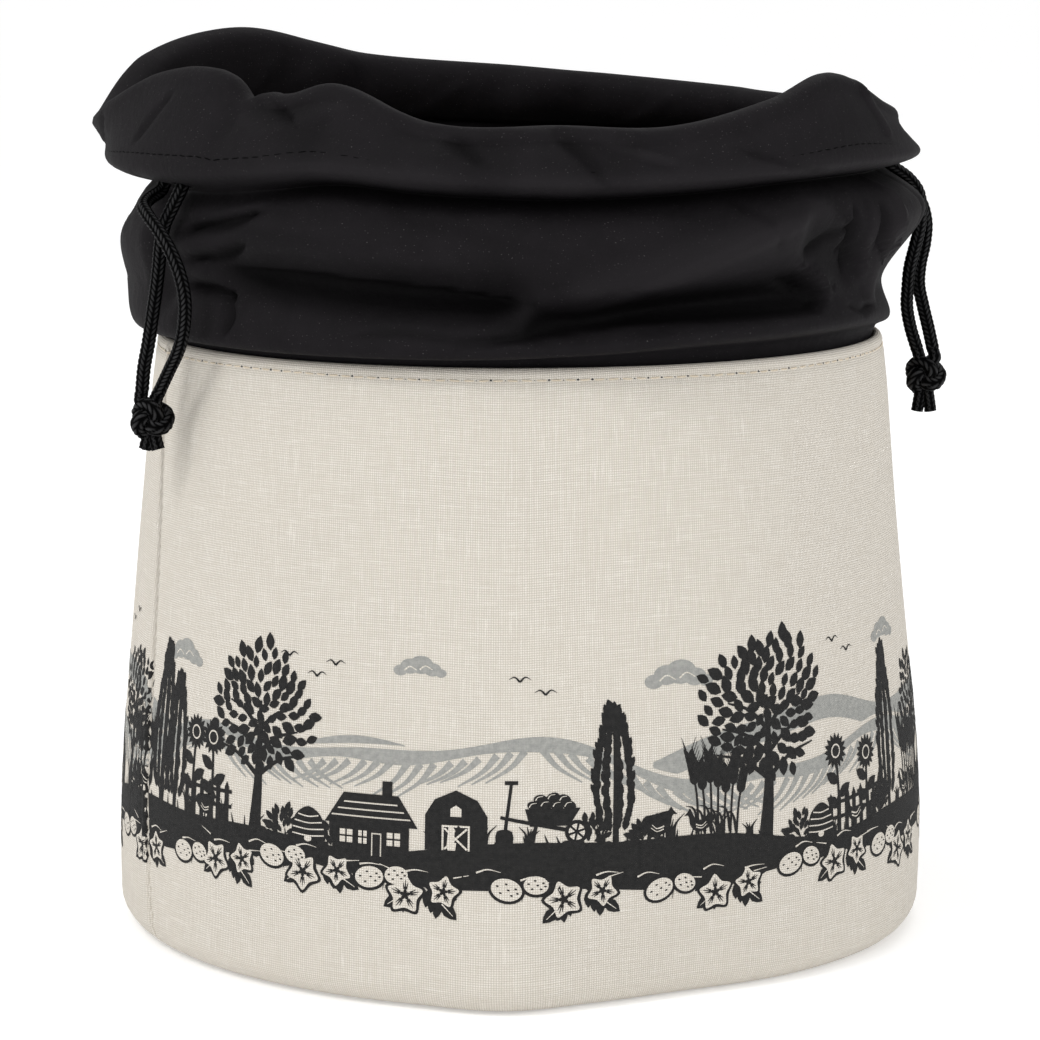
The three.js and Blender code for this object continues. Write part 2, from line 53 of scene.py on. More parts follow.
# Sizes of the model's solids, in millimetres, with shares of the collar's height and turns in degrees
BASE_RADIUS = 102.0
RIM_RADIUS = 92.0
DRUM_HEIGHT = 148.0
WALL_THICKNESS = 2.6
RIM_CROWN = 0.9
EDGE_ROUNDING = 7.0
BASE_FOLD_WIDTH = 8.0
BASE_THICKNESS = 2.4
COLLAR_THICKNESS = 1.1
COLLAR_RISE = 74.0
COLLAR_SEAM_DEPTH = 12.0
FOLD_DEPTH = 4.0
HEM_DEPTH = 18.0
CORD_DIAMETER = 3.4
CORD_CLEARANCE = 1.2
CORD_SAG = 0.3
KNOT_WIDTH = 10.6
KNOT_HEIGHT = 9.6
TAIL_LENGTH = 4.5
LAYER_GAP = 0.3
CORD_END_GAP = 0.3
HEM_SPACING = CORD_DIAMETER + 2 * CORD_CLEARANCE + COLLAR_THICKNESS
FOOTPRINT_FADE = 0.5
STRIP_HEIGHT = 0.045
ROLL_HEIGHT = 0.095
WAIST_HEIGHT = 0.19
CREASE_RADIUS = 1.0
LIP_RISE = 0.06
TURN_IN = 9.0
OPEN_TURN = 10.0
CLOSED_TURN = 26.0

# height, flare
DRUM_PROFILE = [(0.12, 1.0), (0.3, 0.87), (0.5, 0.6), (0.72, 0.3), (0.92, 0.02), (1.0, -0.14)]

# azimuth, radius
FOOTPRINT = [
    (-180, 1.0), (-140, 0.985), (-100, 1.0), (-40, 0.995), (-15, 1.01), (-2, 1.04),
    (10, 0.985), (24, 0.95), (42, 0.975), (65, 1.0), (115, 0.985), (150, 1.01),
]

SECTION_COLUMNS = ["rollR", "waistR", "bulgeR", "bulgeZ", "creaseZ", "lipR", "hemR", "crestZ"]
COLLAR_SECTIONS = [
    (-180, 1.03, 1.02, 1.06, 0.35, 0.54, 1.045, 0.98, 0.85),
    (-152, 1.035, 1.025, 1.065, 0.35, 0.56, 1.05, 0.972, 0.9),
    (-127, 1.04, 1.04, 1.07, 0.34, 0.57, 1.055, 0.992, 1.0),
    (-106, 1.045, 1.06, 1.075, 0.32, 0.555, 1.08, 1.07, 0.92),
    (-92, 1.045, 1.065, 1.08, 0.32, 0.54, 1.1, 1.112, 0.755),
    (-80, 1.04, 1.055, 1.07, 0.33, 0.52, 1.1, 1.08, 0.79),
    (-66, 1.03, 1.03, 1.055, 0.35, 0.51, 1.095, 1.01, 0.88),
    (-52, 1.025, 1.015, 1.055, 0.38, 0.51, 1.085, 0.98, 0.9),
    (-40, 1.03, 1.01, 1.06, 0.39, 0.53, 1.075, 0.96, 0.825),
    (-28, 1.035, 1.01, 1.065, 0.39, 0.555, 1.07, 0.952, 0.86),
    (-13, 1.04, 1.005, 1.06, 0.38, 0.53, 1.07, 0.97, 0.745),
    (6, 1.05, 1.0, 1.06, 0.38, 0.515, 1.07, 0.98, 0.74),
    (22, 1.055, 1.0, 1.055, 0.39, 0.525, 1.07, 0.983, 0.735),
    (40, 1.045, 1.0, 1.045, 0.4, 0.545, 1.065, 0.98, 0.81),
    (54, 1.03, 0.995, 1.04, 0.41, 0.555, 1.06, 0.972, 0.885),
    (70, 1.01, 0.985, 1.065, 0.42, 0.555, 1.06, 0.99, 0.79),
    (90, 0.997, 0.975, 1.095, 0.42, 0.55, 1.065, 1.0, 0.735),
    (112, 1.01, 0.995, 1.085, 0.4, 0.54, 1.06, 0.992, 0.745),
    (145, 1.03, 1.015, 1.065, 0.36, 0.53, 1.05, 0.987, 0.79),
]

# from, fromZ, to, toZ, depth, width: the model's own folds
FOLDS = [
    (-44, 0.27, -2, 0.22, 0.8, 0.11), (4, 0.13, 46, 0.23, 0.9, 0.1), (10, 0.22, 46, 0.46, -0.5, 0.12),
    (46, 0.38, 58, 0.28, 0.8, 0.11), (-64, 0.47, -64, 0.2, 0.7, 0.12), (-41, 0.84, -30, 0.7, 0.6, 0.13),
    (-14, 0.76, -4, 0.62, 0.5, 0.13), (4, 0.76, 12, 0.64, 0.5, 0.13), (66, 0.46, 66, 0.2, -0.5, 0.09),
    (116, 0.24, 146, 0.2, 0.8, 0.11), (128, 0.3, 160, 0.44, -0.6, 0.12), (152, 0.24, 205, 0.27, 0.9, 0.11),
    (214, 0.18, 248, 0.26, 0.7, 0.1), (172, 0.82, 180, 0.66, 0.5, 0.15), (214, 0.9, 222, 0.72, 0.5, 0.15),
    (134, 0.76, 128, 0.64, 0.5, 0.14),
]

# Fine creases: azimuth and height in mm of each point, then depth and half widths below and above in mm
CREASES = [
    ([(-49, 169.8), (-30, 168.6), (-12, 166.2), (2, 163.0)], 3.8, 13.0, 1.1),
    ([(-6.7, 152.6), (5.5, 155.6), (16.9, 158.0), (32.6, 158.2), (47.7, 158.2), (52.5, 162.0)],
     4.0, 1.2, 10.0),
    ([(42.8, 170.7), (47.6, 168.0), (52.5, 162.8), (50.5, 159.4)], -1.4, 1.5, 1.5),
    ([(40.0, 167.6), (45.5, 165.6), (48.6, 162.6)], 2.0, 2.2, 1.4),
    ([(8, 160.5), (22, 168.5), (36, 177.5), (45, 182.0)], -0.9, 3.0, 3.0),
    ([(44, 171.5), (50, 176.0), (57, 178.5)], 1.4, 2.6, 2.2),
    ([(60.0, 184.0), (59.6, 173.5), (63.0, 163.8)], -1.7, 2.2, 2.2),
    ([(63.0, 182.0), (63.2, 174.0), (68.0, 167.0)], 2.4, 2.2, 2.2),
    ([(55.8, 183.0), (56.0, 174.0), (58.6, 166.0)], 1.9, 2.4, 2.0),
    ([(74.0, 200.0), (88.0, 199.0), (102.0, 200.0)], 1.7, 7.0, 7.0),
    ([(66.0, 187.5), (66.8, 177.2), (74.0, 169.0)], -1.6, 2.0, 2.0),
    ([(56.0, 158.4), (60.5, 156.4), (66.0, 157.4)], 1.4, 1.4, 2.2),
    ([(-66, 190.0), (-65, 178.0), (-66, 165.0)], 1.3, 2.0, 2.0),
    ([(-60, 179.0), (-44, 178.2), (-25, 176.4)], 0.7, 3.2, 3.0),
    ([(-56.0, 176.0), (-48.0, 178.5), (-38.0, 182.5)], 3.2, 3.6, 2.4),
    ([(-55.0, 170.0), (-47.0, 172.0), (-40.0, 175.5)], 2.9, 2.8, 2.0),
    ([(-57.0, 163.5), (-50.0, 163.0), (-45.0, 161.0)], 3.0, 2.2, 3.4),
    ([(-47.5, 163.0), (-46.0, 157.0), (-47.0, 152.5)], 2.0, 3.0, 3.0),
    ([(-26, 154.2), (-17, 155.8), (-8, 154.4), (0, 154.8)], 0.9, 1.2, 1.8),
    ([(52, 182.0), (56, 176.0), (54, 171.0)], 0.9, 1.6, 1.4),
    ([(-56, 172.0), (-50, 176.5), (-40, 183.5)], -0.6, 3.0, 3.0),
    ([(-20, 184.0), (-6, 178.5), (6, 174.0)], 0.5, 3.4, 3.4),
    ([(30, 186.0), (36, 180.5), (38, 173.5)], 0.6, 2.4, 2.4),
    ([(78, 189.0), (82, 180.0), (80, 171.0)], 0.8, 2.6, 2.6),
    ([(84, 163.0), (96, 160.6), (112, 162.4)], 1.2, 1.8, 3.2),
    ([(100, 172.0), (114, 176.0), (128, 181.0)], 0.9, 2.6, 2.4),
    ([(124, 158.0), (138, 160.6), (154, 158.4)], 1.4, 1.8, 3.0),
    ([(140, 172.0), (150, 180.0), (160, 185.0)], -0.9, 2.6, 2.6),
    ([(158, 168.0), (176, 165.0), (192, 168.2)], 1.4, 2.8, 1.5),
    ([(170, 184.0), (178, 176.0), (184, 170.0)], 0.9, 2.4, 2.4),
    ([(196, 156.8), (212, 159.4), (228, 157.6)], 1.3, 1.5, 3.0),
    ([(206, 178.0), (218, 172.4), (232, 170.0)], 1.0, 2.6, 2.0),
    ([(236, 183.0), (246, 176.0), (252, 166.0)], -0.9, 2.4, 2.4),
    ([(252, 166.0), (262, 161.0), (276, 162.6)], 1.3, 1.8, 2.6),
    ([(262, 184.0), (272, 177.5), (284, 174.0)], 0.9, 2.6, 2.4),
    ([(-43.5, 210.0), (-39.5, 205.6), (-33.0, 201.4)], 1.8, 1.6, 2.2),
    ([(-45.5, 208.0), (-43.0, 203.4), (-36.0, 199.0)], -0.5, 2.6, 2.6),
    ([(-38, 200.4), (-30, 204.4), (-24, 207.6)], -0.4, 3.0, 2.6),
    ([(-14.0, 202.4), (-9.0, 198.0), (-4.5, 193.4)], 1.6, 2.4, 4.0),
    ([(4.0, 201.6), (8.0, 196.0), (11.5, 189.6)], 1.5, 2.2, 4.0),
    ([(10, 200.0), (16, 196.2), (22, 193.6)], -0.7, 1.8, 1.8),
    ([(59, 213.0), (62.5, 203.0), (65, 197.0)], -1.0, 2.6, 2.6),
    ([(-91.0, 201.0), (-88.5, 198.0), (-86.0, 195.0)], -0.5, 3.2, 3.2),
    ([(30, 197.0), (38, 193.0), (46, 191.6)], 0.8, 1.8, 1.8),
    ([(-58, 209.0), (-62, 202.0), (-66, 196.0)], 0.9, 2.2, 2.2),
    ([(-80, 203.0), (-84, 197.0), (-88, 192.4)], 1.0, 2.2, 2.2),
    ([(84, 200.0), (90, 196.4), (97, 194.8)], 0.8, 1.8, 1.8),
    ([(112, 201.0), (118, 196.0), (126, 193.0)], 1.0, 2.0, 2.0),
    ([(150, 205.0), (156, 199.0), (164, 194.0)], 0.9, 2.0, 2.0),
    ([(190, 207.0), (196, 200.0), (204, 195.0)], 1.0, 2.2, 2.2),
    ([(228, 214.0), (232, 205.0), (240, 198.0)], 1.2, 2.2, 2.2),
]

# Azimuths where the four cord ends come out of the hem
LEFT_FRONT_EXIT = -55.5
LEFT_BACK_EXIT = -62.0
RIGHT_FRONT_EXIT = 104.0
RIGHT_BACK_EXIT = 110.5
EXITS = [LEFT_FRONT_EXIT, LEFT_BACK_EXIT, RIGHT_FRONT_EXIT, RIGHT_BACK_EXIT]

# The free cord ends, from their holes down to their knots
ROUTES = {
    "cord_left_front": [
        (-79, -54.3, 187.7), (-80, -54.9, 185.4), (-81.8, -55.2, 181.8), (-83.6, -54.8, 178),
        (-84.6, -54.4, 173.6), (-85.2, -54.2, 168), (-86, -54, 162), (-87, -53.6, 156), (-88, -53.2, 150),
        (-89.2, -52.8, 144), (-89.8, -52.6, 138.6),
    ],
    "cord_left_back": [
        (-84.2, -44.8, 187.7), (-85.2, -45.4, 185.5), (-87.8, -49, 183.6), (-88.6, -53.6, 182.2),
        (-87.2, -57.8, 180.4), (-84.2, -62, 177), (-81.4, -64.6, 172.6), (-79.2, -65.6, 167.2),
        (-78.2, -65, 161.4), (-78.6, -63.4, 155), (-80.2, -60.6, 149), (-82.8, -57.2, 143.8),
        (-85.4, -54.4, 138.6),
    ],
    "cord_right_front": [
        (91.9, 22.9, 190.6), (93.4, 23.3, 188.6), (96.4, 23.8, 186.6), (99.9, 23.9, 184),
        (102.3, 23.4, 180.6), (102.9, 22.8, 176), (102.4, 21.6, 171), (101.2, 20.6, 166.5),
        (100, 20.2, 161.5), (99.6, 20.4, 156.5), (99.5, 20.6, 151.5), (100.4, 19.8, 146.2),
        (102, 18.4, 140.8),
    ],
    "cord_right_back": [
        (88.7, 33.1, 190.4), (90.1, 33.7, 188.4), (93.2, 33.8, 186.4), (97.2, 32.6, 184.2),
        (101, 30.6, 181), (103.6, 28.8, 177.6), (104.8, 27.2, 172.8), (104.4, 25.8, 167.4),
        (103.2, 24.6, 162), (102.8, 23.4, 156.8), (103.8, 21.8, 151.4), (105, 19.8, 146),
        (106, 17.6, 140.8),
    ],
}


# Shapes from tables

def round_curve(rows, column, azimuth):
    """One column of a table of azimuths as a smooth curve that closes on itself."""
    azimuth = np.asarray(azimuth, float)
    places = np.array([row[0] for row in rows], float)
    values = np.array([row[column] for row in rows], float)
    p = np.concatenate([places[-2:] - 360, places, places[:3] + 360])
    v = np.concatenate([values[-2:], values, values[:3]])
    slope = np.zeros(len(p))
    slope[1:-1] = (v[2:] - v[:-2]) / (p[2:] - p[:-2])
    wrapped = places[0] + np.mod(azimuth - places[0], 360)
    i = np.searchsorted(p, wrapped, side="right") - 1
    span = p[i + 1] - p[i]
    t = (wrapped - p[i]) / span
    lead = t * t * (3 - 2 * t)
    leave = t * (1 - t) ** 2 * span * slope[i]
    arrive = t * t * (t - 1) * span * slope[i + 1]
    return v[i] * (1 - lead) + v[i + 1] * lead + leave + arrive


def catmull(control, steps):
    """Centripetal curve through control points (..., count, dims) at steps counted in control points."""
    first = 2 * control[..., :1, :] - control[..., 1:2, :]
    last = 2 * control[..., -1:, :] - control[..., -2:-1, :]
    padded = np.concatenate([first, control, last], axis=-2)
    count = control.shape[-2]
    i = np.clip(np.floor(steps).astype(int), 0, count - 2)
    t = (np.asarray(steps, float) - i)[:, None]
    p0, p1, p2, p3 = (padded[..., i + k, :] for k in range(4))

    def gap(a, b):
        return np.maximum(np.sum((b - a) ** 2, axis=-1, keepdims=True), 1e-12) ** 0.25

    d0, d1, d2 = gap(p0, p1), gap(p1, p2), gap(p2, p3)
    t1 = ((p1 - p0) / d0 - (p2 - p0) / (d0 + d1) + (p2 - p1) / d1) * d1
    t2 = ((p2 - p1) / d1 - (p3 - p1) / (d1 + d2) + (p3 - p2) / d2) * d1
    c2 = -3 * p1 + 3 * p2 - 2 * t1 - t2
    c3 = 2 * p1 - 2 * p2 + t1 + t2
    return p1 + t1 * t + c2 * t * t + c3 * t ** 3


def ridge(away, width):
    """A soft ridge across a line: 1 on the line, and near 0 two widths away."""
    return np.exp(-(away / width) ** 2)


def polar(azimuth, radius, height):
    angle = np.radians(azimuth)
    return np.stack(np.broadcast_arrays(radius * np.sin(angle), -radius * np.cos(angle), height), axis=-1)


def collar_height(share):
    return DRUM_HEIGHT + share * COLLAR_RISE


def fold_push(azimuth, height):
    """How far the model's own folds push the cloth inwards."""
    total = np.zeros(np.broadcast(azimuth, height).shape)
    for start, start_z, end, end_z, depth, width in FOLDS:
        turned = azimuth + 360 * np.round(((start + end) / 2 - azimuth) / 360)
        line = np.array([np.radians(end - start) * RIM_RADIUS, (end_z - start_z) * COLLAR_RISE])
        x = np.radians(turned - start) * RIM_RADIUS
        y = height - collar_height(start_z)
        along = np.clip((x * line[0] + y * line[1]) / (line @ line), 0, 1)
        away = np.hypot(x - along * line[0], y - along * line[1])
        share = np.minimum(1, away / (width * COLLAR_RISE))
        total = total + FOLD_DEPTH * depth * (1 - share ** 2) ** 2
    return total


CREASE_END_WIDTH = 0.45
CREASE_SWELL = 0.55
CREASE_END_DEPTH = 0.25
LEAST_CREASE_WIDTH = 0.1


def crease_push(azimuth, height):
    """Finer creases, with a different width on each side of their lines."""
    total = np.zeros(np.broadcast(azimuth, height).shape)
    for points, depth, below, above in CREASES:
        middle = (points[0][0] + points[-1][0]) / 2
        turned = azimuth + 360 * np.round((middle - azimuth) / 360)
        nearest = np.full(total.shape, 1e9)
        side = np.zeros(total.shape)
        ends = np.zeros(total.shape)
        for k in range(len(points) - 1):
            (a0, z0), (a1, z1) = points[k], points[k + 1]
            line = np.array([np.radians(a1 - a0) * RIM_RADIUS, z1 - z0])
            x = np.radians(turned - a0) * RIM_RADIUS
            y = height - z0
            along = np.clip((x * line[0] + y * line[1]) / (line @ line), 0, 1)
            away = np.hypot(x - along * line[0], y - along * line[1])
            closer = away < nearest
            nearest = np.where(closer, away, nearest)
            side = np.where(closer, np.sign(y * line[0] - x * line[1]), side)
            ends = np.where(closer, (k + along) / (len(points) - 1), ends)
        middle_share = 4 * ends * (1 - ends)
        width = np.where(side >= 0, above, below) * (CREASE_END_WIDTH + CREASE_SWELL * middle_share)
        share = np.minimum(1, nearest / np.maximum(width, LEAST_CREASE_WIDTH))
        fade = np.clip(2 * middle_share, CREASE_END_DEPTH, 1)
        total = total + depth * fade * (1 - share ** 2) ** 2
    return total


def hem_centre(azimuth):
    """Radius and height of the middle of the hem's tunnel."""
    radius = RIM_RADIUS * round_curve(COLLAR_SECTIONS, 7, azimuth)
    crest = collar_height(round_curve(COLLAR_SECTIONS, 8, azimuth))
    return radius, crest - (HEM_SPACING + COLLAR_THICKNESS) / 2


def drum_profile():
    """The drum's outer line above its foot, as radii and heights."""
    rows = [(RIM_RADIUS + (BASE_RADIUS - RIM_RADIUS) * flare, (DRUM_HEIGHT - RIM_CROWN) * height)
            for height, flare in DRUM_PROFILE]
    return np.array([(BASE_RADIUS, EDGE_ROUNDING)] + rows)


profile_line = catmull(drum_profile(), np.linspace(0, len(DRUM_PROFILE), 181))


def drum_radius(height):
    return np.interp(height, profile_line[:, 1], profile_line[:, 0])


def footprint_share(azimuth, height):
    above = np.maximum(0, height - EDGE_ROUNDING)
    fade = np.maximum(0, 1 - above / (FOOTPRINT_FADE * DRUM_HEIGHT))
    return 1 + (round_curve(FOOTPRINT, 1, azimuth) - 1) * fade ** 2


foot_radius = min(
    drum_radius(DRUM_HEIGHT - RIM_CROWN), drum_radius(DRUM_HEIGHT - COLLAR_SEAM_DEPTH),
) - WALL_THICKNESS - LAYER_GAP - COLLAR_THICKNESS / 2

# The leg's control points, counted from its foot
LEG_CONTROLS = 10
CREASE_STEP = 6
LIP_STEP = 7
STITCH_STEP = LIP_STEP + 0.45

# The pinched notch in the band's top
NOTCH_AZIMUTH = -45.0
NOTCH_DEPTH = 3.0
NOTCH_TURN = 1.9

# azimuth, low: 1 where the lowest roll hangs right down to the rim, 0 where a hollow shows above the rim
ROLL_DROP = [
    (-180, 0.6), (-120, 0.8), (-80, 1.0), (-10, 0.9), (10, 0.55),
    (28, 0.1), (66, 0.1), (86, 0.7), (110, 0.8), (150, 0.5),
]
ROLL_HANG = 4.0
STRIP_HANG = 1.6
STRIP_BULGE = 1.3


def notch(azimuth):
    """How far the band's top dips at its pinched notch."""
    return NOTCH_DEPTH * ridge(azimuth - NOTCH_AZIMUTH, NOTCH_TURN)


def leg_controls(azimuth, fine=False):
    """Control points of the collar's outer leg at azimuths. fine hangs the roll lower than in the solid."""
    low = round_curve(ROLL_DROP, 1, azimuth) if fine else 0.0
    row = {name: round_curve(COLLAR_SECTIONS, i, azimuth) for i, name in enumerate(SECTION_COLUMNS, 1)}
    hem_radius, hem_z = hem_centre(azimuth)
    hem_z = hem_z - (notch(azimuth) if fine else 0.0)
    one = np.ones_like(hem_radius)
    lip_r = RIM_RADIUS * row["lipR"]
    lip_z = collar_height(row["creaseZ"] + LIP_RISE)
    shoulder_r = hem_radius + HEM_SPACING / 2
    strip_r = (foot_radius + WALL_THICKNESS / 4 + STRIP_BULGE * low) * one
    control = [
        (foot_radius * one, (DRUM_HEIGHT - COLLAR_SEAM_DEPTH) * one),
        (foot_radius * one, (DRUM_HEIGHT - COLLAR_SEAM_DEPTH / 3) * one),
        (strip_r, (collar_height(STRIP_HEIGHT) - STRIP_HANG * low) * one),
        (RIM_RADIUS * row["rollR"], (collar_height(ROLL_HEIGHT) - ROLL_HANG * low) * one),
        (RIM_RADIUS * row["waistR"], collar_height(WAIST_HEIGHT) * one),
        (RIM_RADIUS * row["bulgeR"], collar_height(row["bulgeZ"])),
        (RIM_RADIUS * CREASE_RADIUS * one, collar_height(row["creaseZ"])),
        (lip_r, lip_z),
        ((2 * lip_r + shoulder_r) / 3 + LAYER_GAP, (lip_z + hem_z) / 2),
        (shoulder_r, hem_z),
    ]
    return np.stack([np.stack(point, axis=-1) for point in control], axis=-2)


def outer_leg(azimuth, steps, fine=False):
    return catmull(leg_controls(np.atleast_1d(azimuth), fine), np.atleast_1d(steps))


def hem_opening(azimuth):
    """1 where the hem's inner side hangs open round the cords' holes, 0 where it is sewn shut."""
    away = [np.abs(azimuth - e - 360 * np.round((azimuth - e) / 360)) for e in EXITS]
    t = np.clip((np.min(away, axis=0) - OPEN_TURN) / (CLOSED_TURN - OPEN_TURN), 0, 1)
    return 1 - t * t * (3 - 2 * t)


# Meshes

def add_mesh(name, points, faces, smooth=True):
    """A mesh object from points in millimetres."""
    mesh = bpy.data.meshes.new(name)
    mesh.from_pydata((np.asarray(points, float) * MM).tolist(), [], faces)
    if smooth:
        mesh.shade_smooth()
    mesh.update()
    thing = bpy.data.objects.new(name, mesh)
    bpy.context.scene.collection.objects.link(thing)
    return thing


def grid_faces(columns, rows, round_columns=True, round_rows=False):
    """Faces of a grid of points laid out column by column."""
    faces = []
    for c in range(columns if round_columns else columns - 1):
        here, there = c * rows, ((c + 1) % columns) * rows
        for r in range(rows if round_rows else rows - 1):
            up = (r + 1) % rows
            faces.append((here + r, there + r, there + up, here + up))
    return faces


def add_uv(thing, u, v, wrap=None):
    """A UV map in millimetres from per-point values. wrap is the length after which u closes on itself."""
    mesh = thing.data
    layer = mesh.uv_layers.new(name="cloth")
    corner = np.empty(len(mesh.loops), dtype=int)
    mesh.loops.foreach_get("vertex_index", corner)
    uv = np.stack([np.asarray(u)[corner], np.asarray(v)[corner]], axis=1)
    if wrap:
        for polygon in mesh.polygons:
            span = slice(polygon.loop_start, polygon.loop_start + polygon.loop_total)
            if np.ptp(uv[span, 0]) > wrap / 2:
                uv[span, 0] = np.where(uv[span, 0] < wrap / 2, uv[span, 0] + wrap, uv[span, 0])
    layer.data.foreach_set("uv", uv.ravel())


def add_values(thing, name, values):
    """A number for each point of a mesh, for its material to read."""
    layer = thing.data.attributes.new(name, "FLOAT", "POINT")
    layer.data.foreach_set("value", values.astype(np.float32).ravel())


DENSE_STEPS = 60


def smooth_path(points, spacing):
    """Points every spacing along a smooth curve through points, and the curve's length."""
    control = np.array(points, float)
    dense = catmull(control, np.linspace(0, len(control) - 1, DENSE_STEPS * len(control)))
    run = np.concatenate([[0], np.cumsum(np.linalg.norm(np.diff(dense, axis=0), axis=1))])
    count = max(2, int(round(run[-1] / spacing)))
    places = np.linspace(0, run[-1], count + 1)
    return np.stack([np.interp(places, run, dense[:, k]) for k in range(3)], axis=1), run[-1]


def path_frames(path):
    """Two directions across a path at each point, without twist."""
    along = np.gradient(path, axis=0)
    along /= np.linalg.norm(along, axis=1)[:, None]
    across = np.zeros_like(path)
    guess = np.array([0.3, -1.0, 0.1])
    for i, direction in enumerate(along):
        guess = guess - direction * (guess @ direction)
        guess = guess / np.linalg.norm(guess)
        across[i] = guess
    return across, np.cross(along, across)


# A stitch's length along the cord in mm, the number of stitch columns round it, and how many stitches
# each leg of a column leans over
BRAID_PITCH = 1.3
BRAID_COLUMNS = 3
BRAID_LEAN = 1.4
LEG_EDGE_RISE = 0.35


def braid_tube(name, points, diameter=CORD_DIAMETER, sides=36, spacing=0.14, relief=0.5):
    """A braided cord, columns of slanting stitches round a smooth path, with that path and its length."""
    path, length = smooth_path(points, spacing)
    across, other = path_frames(path)
    run = np.linspace(0, length, len(path))
    turn = 2 * np.pi * np.arange(sides) / sides
    column = np.mod(turn * BRAID_COLUMNS / (2 * np.pi), 1)
    leg = np.mod(column * 2, 1)
    lean = np.where(column < 0.5, leg, 1 - leg)
    stitch = np.mod(run[:, None] / BRAID_PITCH + BRAID_LEAN * lean[None, :], 1)
    across_leg = LEG_EDGE_RISE + (1 - LEG_EDGE_RISE) * np.sin(np.pi * leg)
    bulge = np.sqrt(np.maximum(0, 1 - (2 * stitch - 1) ** 2)) * across_leg
    radius = diameter / 2 - relief + relief * bulge
    ring = across[:, None] * np.cos(turn)[:, None] + other[:, None] * np.sin(turn)[:, None]
    surface = path[:, None, :] + ring * radius[:, :, None]
    count = len(path)
    vertices = surface.reshape(-1, 3)
    faces = [
        (i * sides + j, i * sides + (j + 1) % sides, (i + 1) * sides + (j + 1) % sides, (i + 1) * sides + j)
        for i in range(count - 1) for j in range(sides)
    ]
    faces.append(tuple(range(sides - 1, -1, -1)))
    faces.append(tuple((count - 1) * sides + j for j in range(sides)))
    thing = add_mesh(name, vertices, faces)
    add_values(thing, "rise", bulge)
    return thing, path, length


def joined(name, things):
    """Several braided tubes as one mesh object."""
    points, faces, rises = [], [], []
    for thing in things:
        mesh = thing.data
        start = sum(len(part) for part in points)
        place = np.empty(3 * len(mesh.vertices))
        mesh.vertices.foreach_get("co", place)
        height = np.empty(len(mesh.vertices))
        mesh.attributes["rise"].data.foreach_get("value", height)
        points.append(place.reshape(-1, 3) / MM)
        rises.append(height)
        faces += [tuple(start + i for i in polygon.vertices) for polygon in mesh.polygons]
        bpy.data.objects.remove(thing)
    result = add_mesh(name, np.concatenate(points), faces)
    add_values(result, "rise", np.concatenate(rises))
    return result


# Materials

class Shader:
    """Short forms for building a material's nodes."""

    def __init__(self, name):
        self.material = bpy.data.materials.new(name)
        self.material.use_nodes = True
        self.tree = self.material.node_tree
        self.main = self.tree.nodes["Principled BSDF"]

    def node(self, kind, **settings):
        made = self.tree.nodes.new(kind)
        for key, value in settings.items():
            setattr(made, key, value)
        return made

    def put(self, value, socket):
        if isinstance(value, bpy.types.NodeSocket):
            self.tree.links.new(value, socket)
        else:
            socket.default_value = value

    def math(self, operation, *values):
        made = self.node("ShaderNodeMath", operation=operation)
        for i, value in enumerate(values):
            self.put(value, made.inputs[i])
        return made.outputs[0]

    def mix(self, factor, first, second):
        made = self.node("ShaderNodeMix", data_type="RGBA")
        self.put(factor, made.inputs[0])
        self.put(first, made.inputs[6])
        self.put(second, made.inputs[7])
        return made.outputs[2]

    def spread(self, value, low, high, start=0.0, end=1.0):
        made = self.node("ShaderNodeMapRange")
        for i, item in enumerate((value, low, high, start, end)):
            self.put(item, made.inputs[i])
        return made.outputs[0]

    def stretched(self, vector, scale):
        made = self.node("ShaderNodeMapping")
        self.put(vector, made.inputs["Vector"])
        made.inputs["Scale"].default_value = scale
        return made.outputs[0]

    def noise(self, vector, scale, detail=2.0, roughness=0.5):
        made = self.node("ShaderNodeTexNoise")
        self.put(vector, made.inputs["Vector"])
        made.inputs["Scale"].default_value = scale
        made.inputs["Detail"].default_value = detail
        made.inputs["Roughness"].default_value = roughness
        return made.outputs[0]

    def bump(self, height, distance, strength=1.0, normal=None):
        made = self.node("ShaderNodeBump")
        made.inputs["Strength"].default_value = strength
        made.inputs["Distance"].default_value = distance
        self.put(height, made.inputs["Height"])
        if normal is not None:
            self.put(normal, made.inputs["Normal"])
        return made.outputs[0]

    def set(self, **values):
        for key, value in values.items():
            self.put(value, self.main.inputs[key.replace("_", " ")])


# Distances between the threads of the canvas and of the black cloth, in mm
THREAD_PITCH = 0.55
FINE_PITCH = 0.32


def weave(shader, pitch):
    """Plain weave from the UV map in millimetres: the map's own vector, and the height of the threads."""
    uv = shader.node("ShaderNodeUVMap", uv_map="cloth").outputs[0]
    parts = shader.node("ShaderNodeSeparateXYZ")
    shader.put(uv, parts.inputs[0])
    u = shader.math("DIVIDE", parts.outputs[0], pitch)
    v = shader.math("DIVIDE", parts.outputs[1], pitch)
    across = shader.math("ABSOLUTE", shader.math("SINE", shader.math("MULTIPLY", u, math.pi)))
    along = shader.math("ABSOLUTE", shader.math("SINE", shader.math("MULTIPLY", v, math.pi)))
    cells = shader.math("ADD", shader.math("FLOOR", u), shader.math("FLOOR", v))
    parity = shader.math("ABSOLUTE", shader.math("MODULO", cells, 2.0))
    warp = shader.math("MULTIPLY", across, shader.spread(along, 0.0, 1.0, 0.45, 1.0))
    weft = shader.math("MULTIPLY", along, shader.spread(across, 0.0, 1.0, 0.45, 1.0))
    height = shader.math("ADD", shader.math("MULTIPLY", warp, shader.math("SUBTRACT", 1.0, parity)),
                         shader.math("MULTIPLY", weft, parity))
    return uv, height


